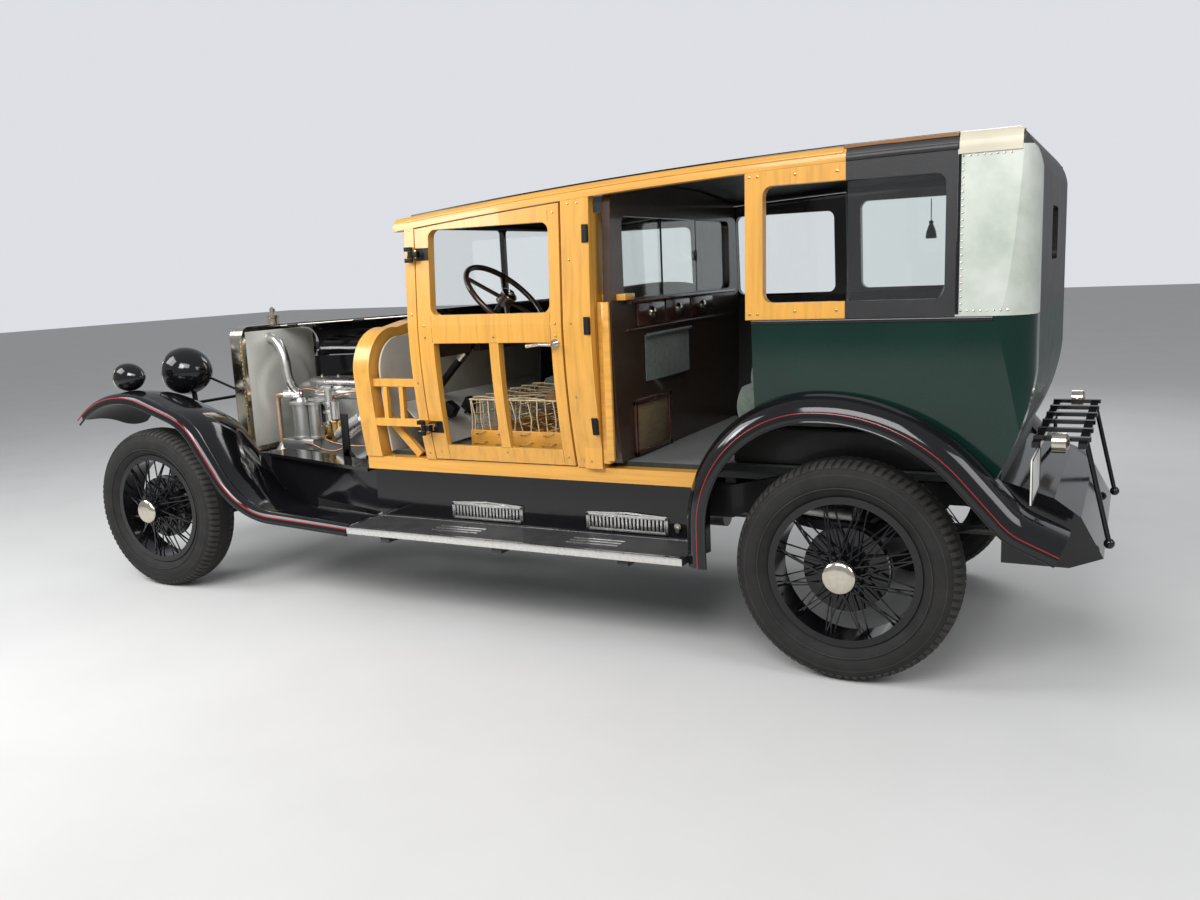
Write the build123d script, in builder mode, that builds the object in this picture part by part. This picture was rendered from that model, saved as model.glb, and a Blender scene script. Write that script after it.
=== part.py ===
from build123d import *
import math
import os

# A long 1920s saloon shown half clothed: its right side is finished, its left side bares the ash frame.
# Millimetres. +X runs forward, +Y to the car's left, +Z up, and the floor is z = 0.
# Every x below is a distance forward of the rear axle, and the planes add the rear axle's own place.

os.makedirs("parts", exist_ok=True)

# Wheelbase, track and clearances
wheelbase = 3630
track = 1450
rear_axle_x = -1614.5
pin_gap = 0.1
seat_gap = 0.3
door_gap = 5

# Wheels and tyres
tyre_radius = 420
tyre_width = 184
tread_width = 148
rim_radius = 272
rim_width = 136
rim_depth = 13
hub_radius = 46
hub_flange = 70
cap_radius = 62
cap_nose = 10
cap_reach = 147
drum_radius = 160
drum_inner = -12
drum_outer = 24
stub_radius = 25
spoke_size = 5
spokes_per_row = 12

# Steering
kingpin_inset = 85
kingpin_radius = 12
boss_radius = 28
boss_height = 70
steering_arm = 170
tie_rod_radius = 12
eye_pin_radius = 8
column_y = 345
wheel_rim_x = 1670
wheel_rim_z = 1440
wheel_rim_radius = 215
column_radius = 18
spindle_radius = 8
column_length = 1170

# Chassis
rail_y = 387
rail_width = 45
rail_bottom = 500
rail_top = 640
rail_front = 3960
rail_rear = -516
rail_kick = 610
axle_z = tyre_radius
spring_width = 52

# Body shell
wall = 40
skin = 4
body_front = 1900
body_rear = -630
body_bottom = 690
floor_top = 770
sill_inner = 650
sill_outer = 714
belt_z = 1350
belt_half_width = 790
bottom_half_width = 706
roof_half_width = 764
roof_edge_top = 1951
roof_arch_radius = 23950
roof_crown = 45
roof_corner = 45
rail_depth = 55
rear_corner_radius = 120
sill_height = 60

# Doors and windows along the side
door_front_x = (1130, 1850)
door_rear_x = (357, 985)
window_corner = 35
front_window = (1185, 1775, 1395, 1755, window_corner)
rear_window = (420, 930, 1395, 1790, window_corner)
quarter_window = (-345, 290, 1410, 1825, window_corner)
back_window = (-145, 145, 1520, 1720, window_corner)
hinge_heights = (905, 1655)
hinge_radius = 9
hinge_pin_radius = 4
hinge_out = 802
hinge_root = 740

# Wings and running boards
wing_outer = 868
wing_sheet = 5
board_x = (607.5, 2282)
board_y = (603.3, 866)
board_top = 438
board_edge = 30
valance_y = 603

# Radiator, cowl and bonnet
radiator_x = (3420, 3505)
radiator_half_width = 290
radiator_top = 1333
radiator_bottom = 640
cowl_x = 2245
hoop_depth = 90
hoop_wall = 80
cowl_half_width = 768
cowl_top = 1372
bonnet_front_x = 3415

front_axle_x = wheelbase
wheel_y = track / 2
kingpin_y = wheel_y - kingpin_inset
inner_rail = rail_y - rail_width / 2
outer_rail = rail_y + rail_width / 2


def side(y=0.0):
    """The side view at a given y: x forward, z up, extruding towards -Y."""
    return Plane(origin=(rear_axle_x, y, 0), x_dir=(1, 0, 0), z_dir=(0, -1, 0))


def across(x):
    """The end view at a given x: y to the left, z up, extruding forward."""
    return Plane(origin=(rear_axle_x + x, 0, 0), x_dir=(0, 1, 0), z_dir=(1, 0, 0))


def level(z):
    """The plan at a given height: x forward, y to the left, extruding up."""
    return Plane(origin=(rear_axle_x, 0, z), x_dir=(1, 0, 0), z_dir=(0, 0, 1))


def box(x, y, z):
    """A block from (low, high) pairs, for use inside a part's block."""
    with BuildSketch(level(z[0])) as base:
        with Locations(((x[0] + x[1]) / 2, (y[0] + y[1]) / 2)):
            Rectangle(x[1] - x[0], y[1] - y[0])
    extrude(base.sketch, amount=z[1] - z[0])


def rod(start, end, radius):
    """A round bar between two points given from the rear axle."""
    a = Vector(rear_axle_x + start[0], start[1], start[2])
    b = Vector(rear_axle_x + end[0], end[1], end[2])
    with BuildSketch(Plane(origin=a, z_dir=b - a)) as end_face:
        Circle(radius)
    extrude(end_face.sketch, amount=(b - a).length)


def finish(piece, name):
    """Label a finished piece and write its STEP file."""
    piece.part.label = name
    export_step(piece.part, f"parts/{name}.step")


def shifted(points, amount):
    """The corners of a run of straight lines moved to its left by an amount, with mitred corners."""
    units = []
    for (x0, z0), (x1, z1) in zip(points, points[1:]):
        run = math.hypot(x1 - x0, z1 - z0)
        units.append(((x1 - x0) / run, (z1 - z0) / run))
    moved = []
    for i, (x, z) in enumerate(points):
        ux, uz = units[max(i - 1, 0)]
        vx, vz = units[min(i, len(units) - 1)]
        mx, mz = -(uz + vz), ux + vx
        scale = 2 / (mx * mx + mz * mz)
        moved.append((x + mx * scale * amount, z + mz * scale * amount))
    return moved


def roof_edge(x):
    """Height of the roof's side edge, a long shallow arch that is highest at the back."""
    return roof_edge_top - (x - body_rear) ** 2 / (2 * roof_arch_radius)


# Wheel, the same at all four corners, built about +Z with its outer side up

def wheel_plane(x, y, out):
    """The wheel's middle plane: local z points out of the car, so out is 1 on the left and -1 on the right."""
    return Plane(origin=(rear_axle_x + x, y, axle_z), x_dir=(1, 0, 0), z_dir=(0, out, 0))


with BuildPart() as tyre:
    tyre_half = tyre_width / 2
    bead = rim_width / 2 - 8
    bead_radius = rim_radius + seat_gap
    bead_top = rim_radius + 15
    tread_edge = (tyre_radius - 16, tread_width / 2)
    with BuildSketch(Plane.XZ):
        with BuildLine():
            Polyline((bead_top, -bead), (bead_radius, -bead), (bead_radius, bead), (bead_top, bead))
            ThreePointArc((bead_top, bead), (rim_radius + 72, tyre_half), tread_edge)
            ThreePointArc(tread_edge, (tyre_radius, 0), (tread_edge[0], -tread_edge[1]))
            ThreePointArc((tread_edge[0], -tread_edge[1]), (rim_radius + 72, -tyre_half), (bead_top, -bead))
        make_face()
    revolve(axis=Axis.Z)

with BuildPart() as wire_wheel:
    rim_half = rim_width / 2
    rim_bed = rim_radius - rim_depth
    bore_radius = stub_radius + pin_gap
    # Rim with its two upright flanges
    with BuildSketch(Plane.XZ):
        with BuildLine():
            Polyline(
                (rim_bed, -rim_half),
                (rim_radius + 14, -rim_half),
                (rim_radius + 14, -rim_half + 5),
                (rim_radius, -rim_half + 5),
                (rim_radius, rim_half - 5),
                (rim_radius + 14, rim_half - 5),
                (rim_radius + 14, rim_half),
                (rim_bed, rim_half),
                close=True,
            )
        make_face()
    # Hub with the brake drum behind it, a flange for the inner spokes and a domed cap
    with BuildSketch(Plane.XZ):
        with BuildLine():
            Polyline(
                (bore_radius, drum_inner),
                (hub_radius, drum_inner),
                (hub_radius, drum_outer - 6),
                (drum_radius - 10, drum_outer - 6),
                (drum_radius - 10, drum_inner),
                (drum_radius, drum_inner),
                (drum_radius, drum_outer),
                (hub_radius, drum_outer),
                (hub_radius, drum_outer + 22),
                (hub_flange, drum_outer + 24),
                (hub_flange, drum_outer + 44),
                (hub_radius, drum_outer + 46),
                (hub_radius, cap_reach - 30),
                (cap_radius, cap_reach - 30),
            )
            RadiusArc((cap_radius, cap_reach - 30), (cap_nose, cap_reach), 92)
            Polyline(
                (cap_nose, cap_reach),
                (0, cap_reach),
                (0, cap_reach - 32),
                (bore_radius, cap_reach - 32),
                (bore_radius, drum_inner),
            )
        make_face()
    revolve(axis=Axis.Z)
    # Spoke rows: hub radius, hub reach, rim reach, lean in degrees, starting angle.
    # The two rows of a pair lean opposite ways and keep a steady distance apart, so none touch.
    spoke_rows = [
        (hub_flange - 10, drum_outer + 29, 6, 34, 8),
        (hub_flange - 10, drum_outer + 39, 16, -34, 23),
        (hub_radius - 7, cap_reach - 51, 34, 38, 10),
        (hub_radius - 7, cap_reach - 40, 45, -38, 22),
    ]
    for hub_r, hub_out, rim_out, lean, start in spoke_rows:
        for i in range(spokes_per_row):
            a = math.radians(start + i * 360 / spokes_per_row)
            b = a + math.radians(lean)
            foot = Vector(hub_r * math.cos(a), hub_r * math.sin(a), hub_out)
            tip = Vector((rim_bed + 5) * math.cos(b), (rim_bed + 5) * math.sin(b), rim_out)
            with BuildSketch(Plane(origin=foot, z_dir=tip - foot)):
                Rectangle(spoke_size, spoke_size)
        extrude(amount=(tip - foot).length)

# Where the wheels stand: name, x, y, outward
corners = [
    ("front_left", wheelbase, wheel_y, 1),
    ("front_right", wheelbase, -wheel_y, -1),
    ("rear_left", 0, wheel_y, 1),
    ("rear_right", 0, -wheel_y, -1),
]
for corner, x, y, out in corners:
    for kind, piece in (("tyre", tyre), ("wire_wheel", wire_wheel)):
        with BuildPart() as placed:
            with Locations(wheel_plane(x, y, out).location):
                add(piece.part)
        finish(placed, f"{kind}_{corner}")


# Front axle, knuckles and track rod

beam_z = axle_z - 55
with BuildPart() as front_axle:
    with BuildSketch(across(front_axle_x - 28)):
        with BuildLine() as beam:
            top = [
                (-kingpin_y, axle_z + 18),
                (-kingpin_y + 60, axle_z + 8),
                (-kingpin_y + 150, beam_z + 32),
                (kingpin_y - 150, beam_z + 32),
                (kingpin_y - 60, axle_z + 8),
                (kingpin_y, axle_z + 18),
            ]
            bottom = [
                (kingpin_y, axle_z - 18),
                (kingpin_y - 60, axle_z - 50),
                (kingpin_y - 150, beam_z - 32),
                (-kingpin_y + 150, beam_z - 32),
                (-kingpin_y + 60, axle_z - 50),
                (-kingpin_y, axle_z - 18),
            ]
            Polyline(*top, *bottom, close=True)
        make_face()
    extrude(amount=56)
    for edge in (-1, 1):
        with BuildSketch(level(axle_z - boss_height / 2)):
            with Locations((front_axle_x, edge * kingpin_y)):
                Circle(boss_radius)
        extrude(amount=boss_height)
    for edge in (-1, 1):
        with BuildSketch(level(axle_z - boss_height / 2 - 1)):
            with Locations((front_axle_x, edge * kingpin_y)):
                Circle(kingpin_radius + pin_gap)
        extrude(amount=boss_height + 2, mode=Mode.SUBTRACT)
finish(front_axle, "front_axle")


def make_knuckle(out):
    """Forked steering knuckle with its kingpin, back plate, stub axle and arm. out is 1 on the left."""
    jaw = 28
    low = axle_z - boss_height / 2 - seat_gap
    high = axle_z + boss_height / 2 + seat_gap
    pin = out * kingpin_y
    plate_y = out * (wheel_y + drum_inner - 10)
    web = sorted((out * (kingpin_y + boss_radius + 4), plate_y))
    with BuildPart() as knuckle:
        with BuildSketch(level(low - jaw)):
            with Locations((front_axle_x, pin)):
                Circle(kingpin_radius)
        extrude(amount=high - low + 2 * jaw)
        for z in (low - jaw, high):
            with BuildSketch(level(z)):
                with Locations((front_axle_x, pin)):
                    Circle(boss_radius)
                with Locations((front_axle_x, pin + out * 30)):
                    Rectangle(2 * boss_radius, 60)
            extrude(amount=jaw)
        box((front_axle_x - boss_radius, front_axle_x + boss_radius), web, (low - jaw, high + jaw))
        box(
            (front_axle_x - steering_arm, front_axle_x - 10),
            sorted((pin - out * 12, pin + out * 12)),
            (low - jaw, low - jaw + 20),
        )
        with BuildSketch(level(low - jaw)):
            with Locations((front_axle_x - steering_arm, pin)):
                Circle(22)
        extrude(amount=20)
        with BuildSketch(level(low - jaw - 1)):
            with Locations((front_axle_x - steering_arm, pin)):
                Circle(eye_pin_radius + pin_gap)
        extrude(amount=22, mode=Mode.SUBTRACT)
        outward = wheel_plane(front_axle_x, plate_y, out)
        with BuildSketch(outward):
            Circle(drum_radius + 4)
        extrude(amount=5)
        with BuildSketch(outward):
            Circle(stub_radius)
        extrude(amount=cap_reach - 34 - drum_inner + 10)
    return knuckle


finish(make_knuckle(1), "knuckle_left")
finish(make_knuckle(-1), "knuckle_right")

arm_top = axle_z - boss_height / 2 - seat_gap - 8
with BuildPart() as tie_rod:
    rod_z = arm_top - 20 - seat_gap - 14
    rod_x = front_axle_x - steering_arm
    rod((rod_x, -kingpin_y, rod_z), (rod_x, kingpin_y, rod_z), tie_rod_radius)
    for edge in (-1, 1):
        rod((rod_x, edge * kingpin_y, rod_z - 14), (rod_x, edge * kingpin_y, rod_z + 14), 20)
        rod((rod_x, edge * kingpin_y, rod_z), (rod_x, edge * kingpin_y, rod_z + 36), eye_pin_radius)
finish(tie_rod, "tie_rod")


# Rear axle with its banjo casing and drum back plates

with BuildPart() as rear_axle:
    with BuildSketch(wheel_plane(0, -wheel_y - drum_inner + 10, 1)):
        Circle(42)
    extrude(amount=2 * (wheel_y + drum_inner - 10))
    with BuildSketch(Plane(origin=(rear_axle_x, 0, axle_z), x_dir=(1, 0, 0), z_dir=(0, 0, 1))):
        with BuildLine():
            Line((0, -150), (60, -150))
            ThreePointArc((60, -150), (140, 0), (60, 150))
            Polyline((60, 150), (0, 150), (0, -150))
        make_face()
    revolve(axis=Axis((rear_axle_x, 0, axle_z), (0, 1, 0)))
    for out in (-1, 1):
        plate_plane = wheel_plane(0, out * (wheel_y + drum_inner - 10), out)
        with BuildSketch(plate_plane):
            Circle(drum_radius + 4)
        extrude(amount=5)
        with BuildSketch(plate_plane):
            Circle(stub_radius)
        extrude(amount=cap_reach - 34 - drum_inner + 10)
finish(rear_axle, "rear_axle")


# Leaf springs, bowed down between their ends, with a shackle up to the rail at each end.
# The rows are middle, half length, underside at the middle, ends, and the shackles' (x, top).
spring_leaf = 12
spring_stack = 46
shackle_half = 9
spring_table = [
    (front_axle_x, 330, beam_z + 32 + seat_gap, 497, [(-330, 547), (330, 499.7)]),
    (0, 440, axle_z + 42 + seat_gap, 545, [(-440, rail_kick - seat_gap), (440, 551)]),
]
with BuildPart() as leaf_springs:
    for centre_x, half, low, ends, shackles in spring_table:
        for y in (-rail_y, rail_y):
            with BuildSketch(side(y + spring_width / 2)):
                with BuildLine():
                    ThreePointArc((centre_x - half, ends), (centre_x, low + spring_stack), (centre_x + half, ends))
                    Line((centre_x + half, ends), (centre_x + half, ends - spring_leaf))
                    ThreePointArc(
                        (centre_x + half, ends - spring_leaf),
                        (centre_x, low),
                        (centre_x - half, ends - spring_leaf),
                    )
                    Line((centre_x - half, ends - spring_leaf), (centre_x - half, ends))
                make_face()
            extrude(amount=spring_width)
            for dx, top in shackles:
                x = centre_x + dx
                box((x - shackle_half, x + shackle_half), (y - 20, y + 20), (ends - spring_leaf - 6, top))
finish(leaf_springs, "leaf_springs")


# Ladder frame

with BuildPart() as frame_rails:
    for y in (-rail_y, rail_y):
        with BuildSketch(side(y + rail_width / 2)):
            with BuildLine():
                Polyline(
                    (rail_rear, rail_kick),
                    (330, rail_kick),
                    (560, rail_bottom),
                    (3080, rail_bottom),
                    (3250, rail_bottom + 50),
                    (rail_front - 120, 520),
                    (rail_front, 500),
                    (rail_front, 545),
                    (rail_front - 200, 640),
                    (3180, rail_top + 30),
                    (2900, rail_top),
                    (560, rail_top),
                    (330, body_bottom - seat_gap),
                    (rail_rear, body_bottom - seat_gap),
                    close=True,
                )
            make_face()
        extrude(amount=rail_width)
finish(frame_rails, "frame_rails")

# Cross members: x, length, inner reach (0 runs across), bottom, top. The last carries the radiator.
cross_table = [
    (rail_rear, 60, 0, 620, 680),
    (160, 60, 0, 625, 685),
    (1150, 60, 0, 570, 630),
    (2050, 60, 126.6, 520, 570),
    (radiator_x[0] + 10, 60, 0, 560, radiator_bottom - seat_gap),
]
with BuildPart() as cross_members:
    for x, length, reach, low, high in cross_table:
        for out in (-1, 1):
            box((x, x + length), sorted((out * reach, out * inner_rail)), (low, high))
finish(cross_members, "cross_members")


# Engine, gearbox and exhaust

engine_x = (2340, 3190)
block_half = 150
deck_z = 925
engine_arms = (2760, 3060)
with BuildPart() as engine_block:
    box(engine_x, (-block_half, block_half), (470, 780))
    box((engine_x[0] + 60, engine_x[1] - 40), (-110, 110), (780, deck_z))
    box((engine_x[0] + 80, engine_x[1] - 70), (-120, 120), (400, 470))
    for x in engine_arms:
        box((x, x + 60), (seat_gap - inner_rail, inner_rail - seat_gap), (560, 610))
finish(engine_block, "engine_block")

with BuildPart() as engine_head:
    with BuildSketch(level(deck_z)):
        with BuildLine():
            Polyline((2330, -95), (2330, 95), (3090, 95), (3205, 30), (3205, -30), (3090, -95), close=True)
        make_face()
    extrude(amount=85)
finish(engine_head, "engine_head")

with BuildPart() as gearbox:
    with BuildSketch(across(engine_x[0] - seat_gap)):
        with Locations((0, 590)):
            RectangleRounded(290, 250, 60)
    with BuildSketch(across(1760)):
        with Locations((0, 580)):
            RectangleRounded(180, 170, 60)
    loft()
    rod((1780, 0, 561), (150, 0, 440), 38)
finish(gearbox, "gearbox")

with BuildPart() as exhaust:
    with BuildLine() as pipe:
        FilletPolyline(
            (rear_axle_x + 2700, -190, 700),
            (rear_axle_x + 2450, -300, 340),
            (rear_axle_x - 800, -300, 340),
            radius=110,
        )
    with BuildSketch(Plane(origin=pipe.line @ 0, z_dir=pipe.line % 0)):
        Circle(22)
    sweep()
    rod((1600, -300, 340), (850, -300, 340), 72)
    box((2420, 3040), (-215, -block_half - seat_gap), (690, 735))
finish(exhaust, "exhaust")


# Radiator

with BuildPart() as radiator_shell:
    with BuildSketch(across(radiator_x[0])):
        with Locations((0, (radiator_top + radiator_bottom) / 2)):
            RectangleRounded(2 * radiator_half_width, radiator_top - radiator_bottom, 60)
            RectangleRounded(2 * radiator_half_width - 60, radiator_top - radiator_bottom - 60, 40, mode=Mode.SUBTRACT)
    extrude(amount=radiator_x[1] - radiator_x[0])
    rod((radiator_x[1] - 45, 0, radiator_top), (radiator_x[1] - 45, 0, radiator_top + 32), 32)
    rod((radiator_x[1] - 45, 0, radiator_top + 32), (radiator_x[1] - 45, 0, radiator_top + 60), 14)
finish(radiator_shell, "radiator_shell")

with BuildPart() as radiator_core:
    with BuildSketch(across(radiator_x[0] + 5)):
        with Locations((0, (radiator_top + radiator_bottom) / 2)):
            RectangleRounded(2 * radiator_half_width - 61, radiator_top - radiator_bottom - 61, 39.5)
    extrude(amount=radiator_x[1] - radiator_x[0] - 15)
finish(radiator_core, "radiator_core")


# Body shell: a lofted outer form, cut to the side view and the plan

def body_form(inset):
    """The closed body's outer form, or its inner face when inset by the wall."""
    drop = inset * 2 if inset else 0
    with BuildPart() as form:
        for x in (1960 + inset, 950, 0, -700):
            edge = roof_edge(x) - inset
            top_half = roof_half_width - inset
            with BuildSketch(across(x)):
                with BuildLine():
                    low = (bottom_half_width - inset, body_bottom - drop)
                    belt = (belt_half_width - inset, belt_z)
                    bulge = ((low[0] + belt[0]) / 2 + 22, (low[1] + belt[1]) / 2)
                    shoulder = (top_half, edge - roof_corner)
                    corner = (top_half - 13, edge - 13)
                    crown_end = (top_half - roof_corner, edge)
                    Line((-low[0], low[1]), low)
                    ThreePointArc(low, bulge, belt)
                    Line(belt, shoulder)
                    ThreePointArc(shoulder, corner, crown_end)
                    ThreePointArc(crown_end, (0, edge + roof_crown), (-crown_end[0], edge))
                    ThreePointArc((-crown_end[0], edge), (-corner[0], corner[1]), (-shoulder[0], shoulder[1]))
                    Line((-shoulder[0], shoulder[1]), (-belt[0], belt[1]))
                    ThreePointArc((-belt[0], belt[1]), (-bulge[0], bulge[1]), (-low[0], low[1]))
                make_face()
        loft()
        back = body_rear + inset
        with BuildSketch(side(1000)):
            with BuildLine():
                Polyline((2200, 2200), (2200, 400), (back + 140, 400), (back + 110, 800))
                ThreePointArc((back + 110, 800), (back + 38, 970), (back, 1160))
                Line((back, 1160), (back, 1830))
                ThreePointArc((back, 1830), (back + 40 - inset / 2, 1930 - inset), (back + 150, 2010 - inset))
                Polyline((back + 150, 2010 - inset), (back + 300, 2200), (2200, 2200))
            make_face()
        extrude(amount=2000, mode=Mode.INTERSECT)
        with BuildSketch(level(300)):
            with Locations(((2200 + back) / 2 + 300, 0)):
                RectangleRounded(2200 - back + 600, 2 * (belt_half_width - inset), rear_corner_radius - inset)
        extrude(amount=2000, mode=Mode.INTERSECT)
    return form


outer_form = body_form(0)
inner_form = body_form(wall)
with BuildPart() as shell:
    add(outer_form.part)
    add(inner_form.part, mode=Mode.SUBTRACT)


def roof_cut(drop, x_low, x_high):
    """Corners of a side-view region under the roof's edge less a drop, for use inside a line block."""
    middle = (x_low + x_high) / 2
    Line((x_low, 300), (x_high, 300))
    Line((x_high, 300), (x_high, roof_edge(x_high) - drop))
    ThreePointArc(
        (x_high, roof_edge(x_high) - drop),
        (middle, roof_edge(middle) - drop),
        (x_low, roof_edge(x_low) - drop),
    )
    Line((x_low, roof_edge(x_low) - drop), (x_low, 300))


# Rear wing's lip in side view, from the running board over the wheel to the tail, and its bend radii
rear_lip = [(510, 405), (510, 988), (-209, 988), (-556, 600), (-715, 530)]
rear_bends = [425, 620, 250]
# Front wing's lip, from the running board up and over the wheel to the tip
front_lip = [(2285, 398), (2990, 432), (3302, 871), (3868, 1056), (4115, 806)]
front_bends = [470, 300, 500]
# How far the two wings' crowns stand above their lips
rear_crown = 97.5
front_crown = 54.4


def wing_line(corners_list, bends, amount):
    """A wing's line moved outwards from the wheel, with every bend kept concentric."""
    turn = 1 if corners_list is front_lip else -1
    radii = []
    points = shifted(corners_list, amount * turn)
    for i, radius in enumerate(bends):
        (ax, az), (bx, bz), (cx, cz) = corners_list[i : i + 3]
        cross = (bx - ax) * (cz - bz) - (bz - az) * (cx - bx)
        convex = cross * turn < 0
        radii.append(radius + amount if convex else radius - amount)
    return points, radii


def below_wing(lip, bends, amount):
    """Side-view outline of all that lies under a wing's line moved outwards, for use in a sketch."""
    points, radii = wing_line(lip, bends, amount)
    with BuildLine() as edge:
        FilletPolyline(*points, radius=radii)
        Polyline(points[-1], (points[-1][0], 100), (points[0][0], 100), points[0])
    return make_face(edge.edges(), mode=Mode.PRIVATE)


rear_wheelhouse = side(1000) * below_wing(rear_lip, rear_bends, rear_crown + seat_gap)
# Room for the rear door's arch edge, which moves back a little as the door starts to swing
door_arch_room = 18
door_wheelhouse = side(1000) * below_wing(rear_lip, rear_bends, rear_crown + door_arch_room)
front_wheelhouse = side(1000) * below_wing(front_lip, front_bends, 55)
wheelhouse_wall = 616


def cut_wheelhouse(out, inner, outline=rear_wheelhouse):
    """Clears the rear wheel's arch from the outside in to a given y. out is 1 on the left."""
    arch = outline if out > 0 else mirror(outline, about=Plane.XZ)
    extrude(arch, amount=1000 - inner, dir=(0, -out, 0), mode=Mode.SUBTRACT)


def side_panel(out, plates, windows, drop):
    """One piece of the side wall: its plates less its windows, under the roof's edge less a drop."""
    with BuildPart() as piece:
        add(shell.part)
        with BuildSketch(side(out * 1000)) as outline:
            for x0, x1, z0, z1 in plates:
                with Locations(((x0 + x1) / 2, (z0 + z1) / 2)):
                    Rectangle(x1 - x0, z1 - z0)
            for x0, x1, z0, z1, corner in windows:
                with Locations(((x0 + x1) / 2, (z0 + z1) / 2)):
                    RectangleRounded(x1 - x0, z1 - z0, corner, mode=Mode.SUBTRACT)
        extrude(outline.sketch, amount=out * (1000 - corner_y), mode=Mode.INTERSECT)
        with BuildSketch(side(1000)) as under_roof:
            with BuildLine():
                roof_cut(drop, -800, 2200)
            make_face()
        extrude(under_roof.sketch, amount=2000, mode=Mode.INTERSECT)
    return piece


def hinge_axis(span):
    """How far forward a door's hinge line stands, in the middle of the gap at its front edge."""
    return span[1] - door_gap / 2


def hinge_leaf(out, span, low, high, reach):
    """A hinge's barrel and the leaf that reaches back onto the door or forward onto the post."""
    x = hinge_axis(span)
    with BuildSketch(level(low)) as leaf:
        with Locations((x, out * hinge_out)):
            Circle(hinge_radius)
        with Locations((x + reach / 2, out * (hinge_out + hinge_root) / 2)):
            Rectangle(abs(reach), hinge_out - hinge_root)
    extrude(leaf.sketch, amount=high - low)


def post_hinge(out, span, z):
    """The post's half of a hinge: a pin between two barrels, with the door's barrel left free."""
    hinge_leaf(out, span, z - 32, z - 14 - seat_gap, 32)
    hinge_leaf(out, span, z + 14 + seat_gap, z + 32, 32)
    x = hinge_axis(span)
    rod((x, out * hinge_out, z - 30), (x, out * hinge_out, z + 30), hinge_pin_radius)


def door_hinge(out, span, z):
    """The door's half of a hinge, bored for the post's pin."""
    hinge_leaf(out, span, z - 14, z + 14, -32)
    with BuildSketch(level(z - 15)) as bore:
        with Locations((hinge_axis(span), out * hinge_out)):
            Circle(hinge_pin_radius + pin_gap)
    extrude(bore.sketch, amount=30, mode=Mode.SUBTRACT)


corner_y = 600
sill_top = body_bottom + sill_height
under_rail = rail_depth + seat_gap
wood_end = -10
cover_end = -380
green_front = 334

# Bare ash frame on the left: sill, posts and roof rail

with BuildPart() as sill_left:
    box((560, cowl_x), (sill_inner, sill_outer), (body_bottom, sill_top))
    cut_wheelhouse(1, corner_y)
finish(sill_left, "sill_left")

with BuildPart() as front_post:
    add(side_panel(1, [(door_front_x[1], body_front, sill_top, 2000)], [], under_rail).part)
    for z in hinge_heights:
        post_hinge(1, door_front_x, z)
    for z in (1080, 900):
        box((body_front, cowl_x - hoop_depth - seat_gap), (720, 748), (z, z + 35))
    for x in (1990, 2080):
        box((x, x + 22), (722, 746), (900, 1085))
finish(front_post, "front_post")

with BuildPart() as centre_post:
    post = side_panel(1, [(1000, door_front_x[0] - door_gap, sill_top, 2000)], [], under_rail)
    add(post.part)
    box((1000, 1080), (655, 740), (sill_top, 1780))
finish(centre_post, "centre_post")

rear_post = side_panel(1, [(wood_end, door_rear_x[0], belt_z, 2000)], [quarter_window], under_rail)
finish(rear_post, "rear_post")

with BuildPart() as above_rail:
    add(shell.part)
    with BuildSketch(side(1000)):
        with BuildLine():
            roof_cut(rail_depth, -800, 2200)
        make_face()
    extrude(amount=2000, mode=Mode.SUBTRACT)

rail_inner_y = 700
with BuildPart() as rail_zone:
    box((wood_end, 2200), (rail_inner_y, 900), (1500, 2200))
with BuildPart() as roof_rail:
    add(above_rail.part)
    add(rail_zone.part, mode=Mode.INTERSECT)
finish(roof_rail, "roof_rail")

with BuildPart() as roof:
    add(above_rail.part)
    with BuildSketch(level(1500)):
        with Locations(((wood_end + 2200) / 2, (rail_inner_y + 900) / 2)):
            Rectangle(2200 - wood_end + 2 * seat_gap, 900 - rail_inner_y + 2 * seat_gap)
    extrude(amount=700, mode=Mode.SUBTRACT)
finish(roof, "roof")

# Clothed rear quarter on the left

quarter_cover = side_panel(1, [(cover_end, wood_end - seat_gap, belt_z, 2000)], [quarter_window], under_rail)
finish(quarter_cover, "quarter_cover")

with BuildPart() as lower_quarter:
    add(side_panel(1, [(-800, green_front, body_bottom - 20, belt_z - seat_gap)], [], under_rail).part)
    cut_wheelhouse(1, corner_y - 1)
finish(lower_quarter, "lower_quarter")

corner_panel = side_panel(1, [(-800, cover_end - seat_gap, belt_z, 2000)], [], under_rail)
finish(corner_panel, "corner_panel")

# Back panel, which takes in the right rear corner

with BuildPart() as back_panel:
    add(shell.part)
    with BuildSketch(side(corner_y - seat_gap)) as under_roof:
        with BuildLine():
            roof_cut(under_rail, -800, cover_end - seat_gap)
        make_face()
    extrude(amount=1000 + corner_y, mode=Mode.INTERSECT)
    with BuildSketch(across(-800)):
        x0, x1, z0, z1, corner = back_window
        with Locations(((x0 + x1) / 2, (z0 + z1) / 2)):
            RectangleRounded(x1 - x0, z1 - z0, corner)
    extrude(amount=300, mode=Mode.SUBTRACT)
    cut_wheelhouse(-1, wheelhouse_wall)
finish(back_panel, "back_panel")

# Finished right side, and the doors that hang in it

with BuildPart() as right_side:
    for span in (door_front_x, door_rear_x):
        for z in hinge_heights:
            post_hinge(-1, span, z)
    holes = [(x0, x1, sill_top, 2400, 1) for x0, x1 in (door_front_x, door_rear_x)]
    plates = [(cover_end, body_front, body_bottom, 2000)]
    add(side_panel(-1, plates, [quarter_window] + holes, under_rail).part)
    box((640, body_front), (-sill_outer, -sill_inner), (body_bottom, sill_top))
    cut_wheelhouse(-1, corner_y)
finish(right_side, "right_side")


def door_panel(out, span, windows):
    """A door that fills its opening in the side wall less the door gap."""
    plates = [(span[0] + door_gap, span[1] - door_gap, sill_top + door_gap, 2000)]
    return side_panel(out, plates, windows, under_rail + door_gap)


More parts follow.
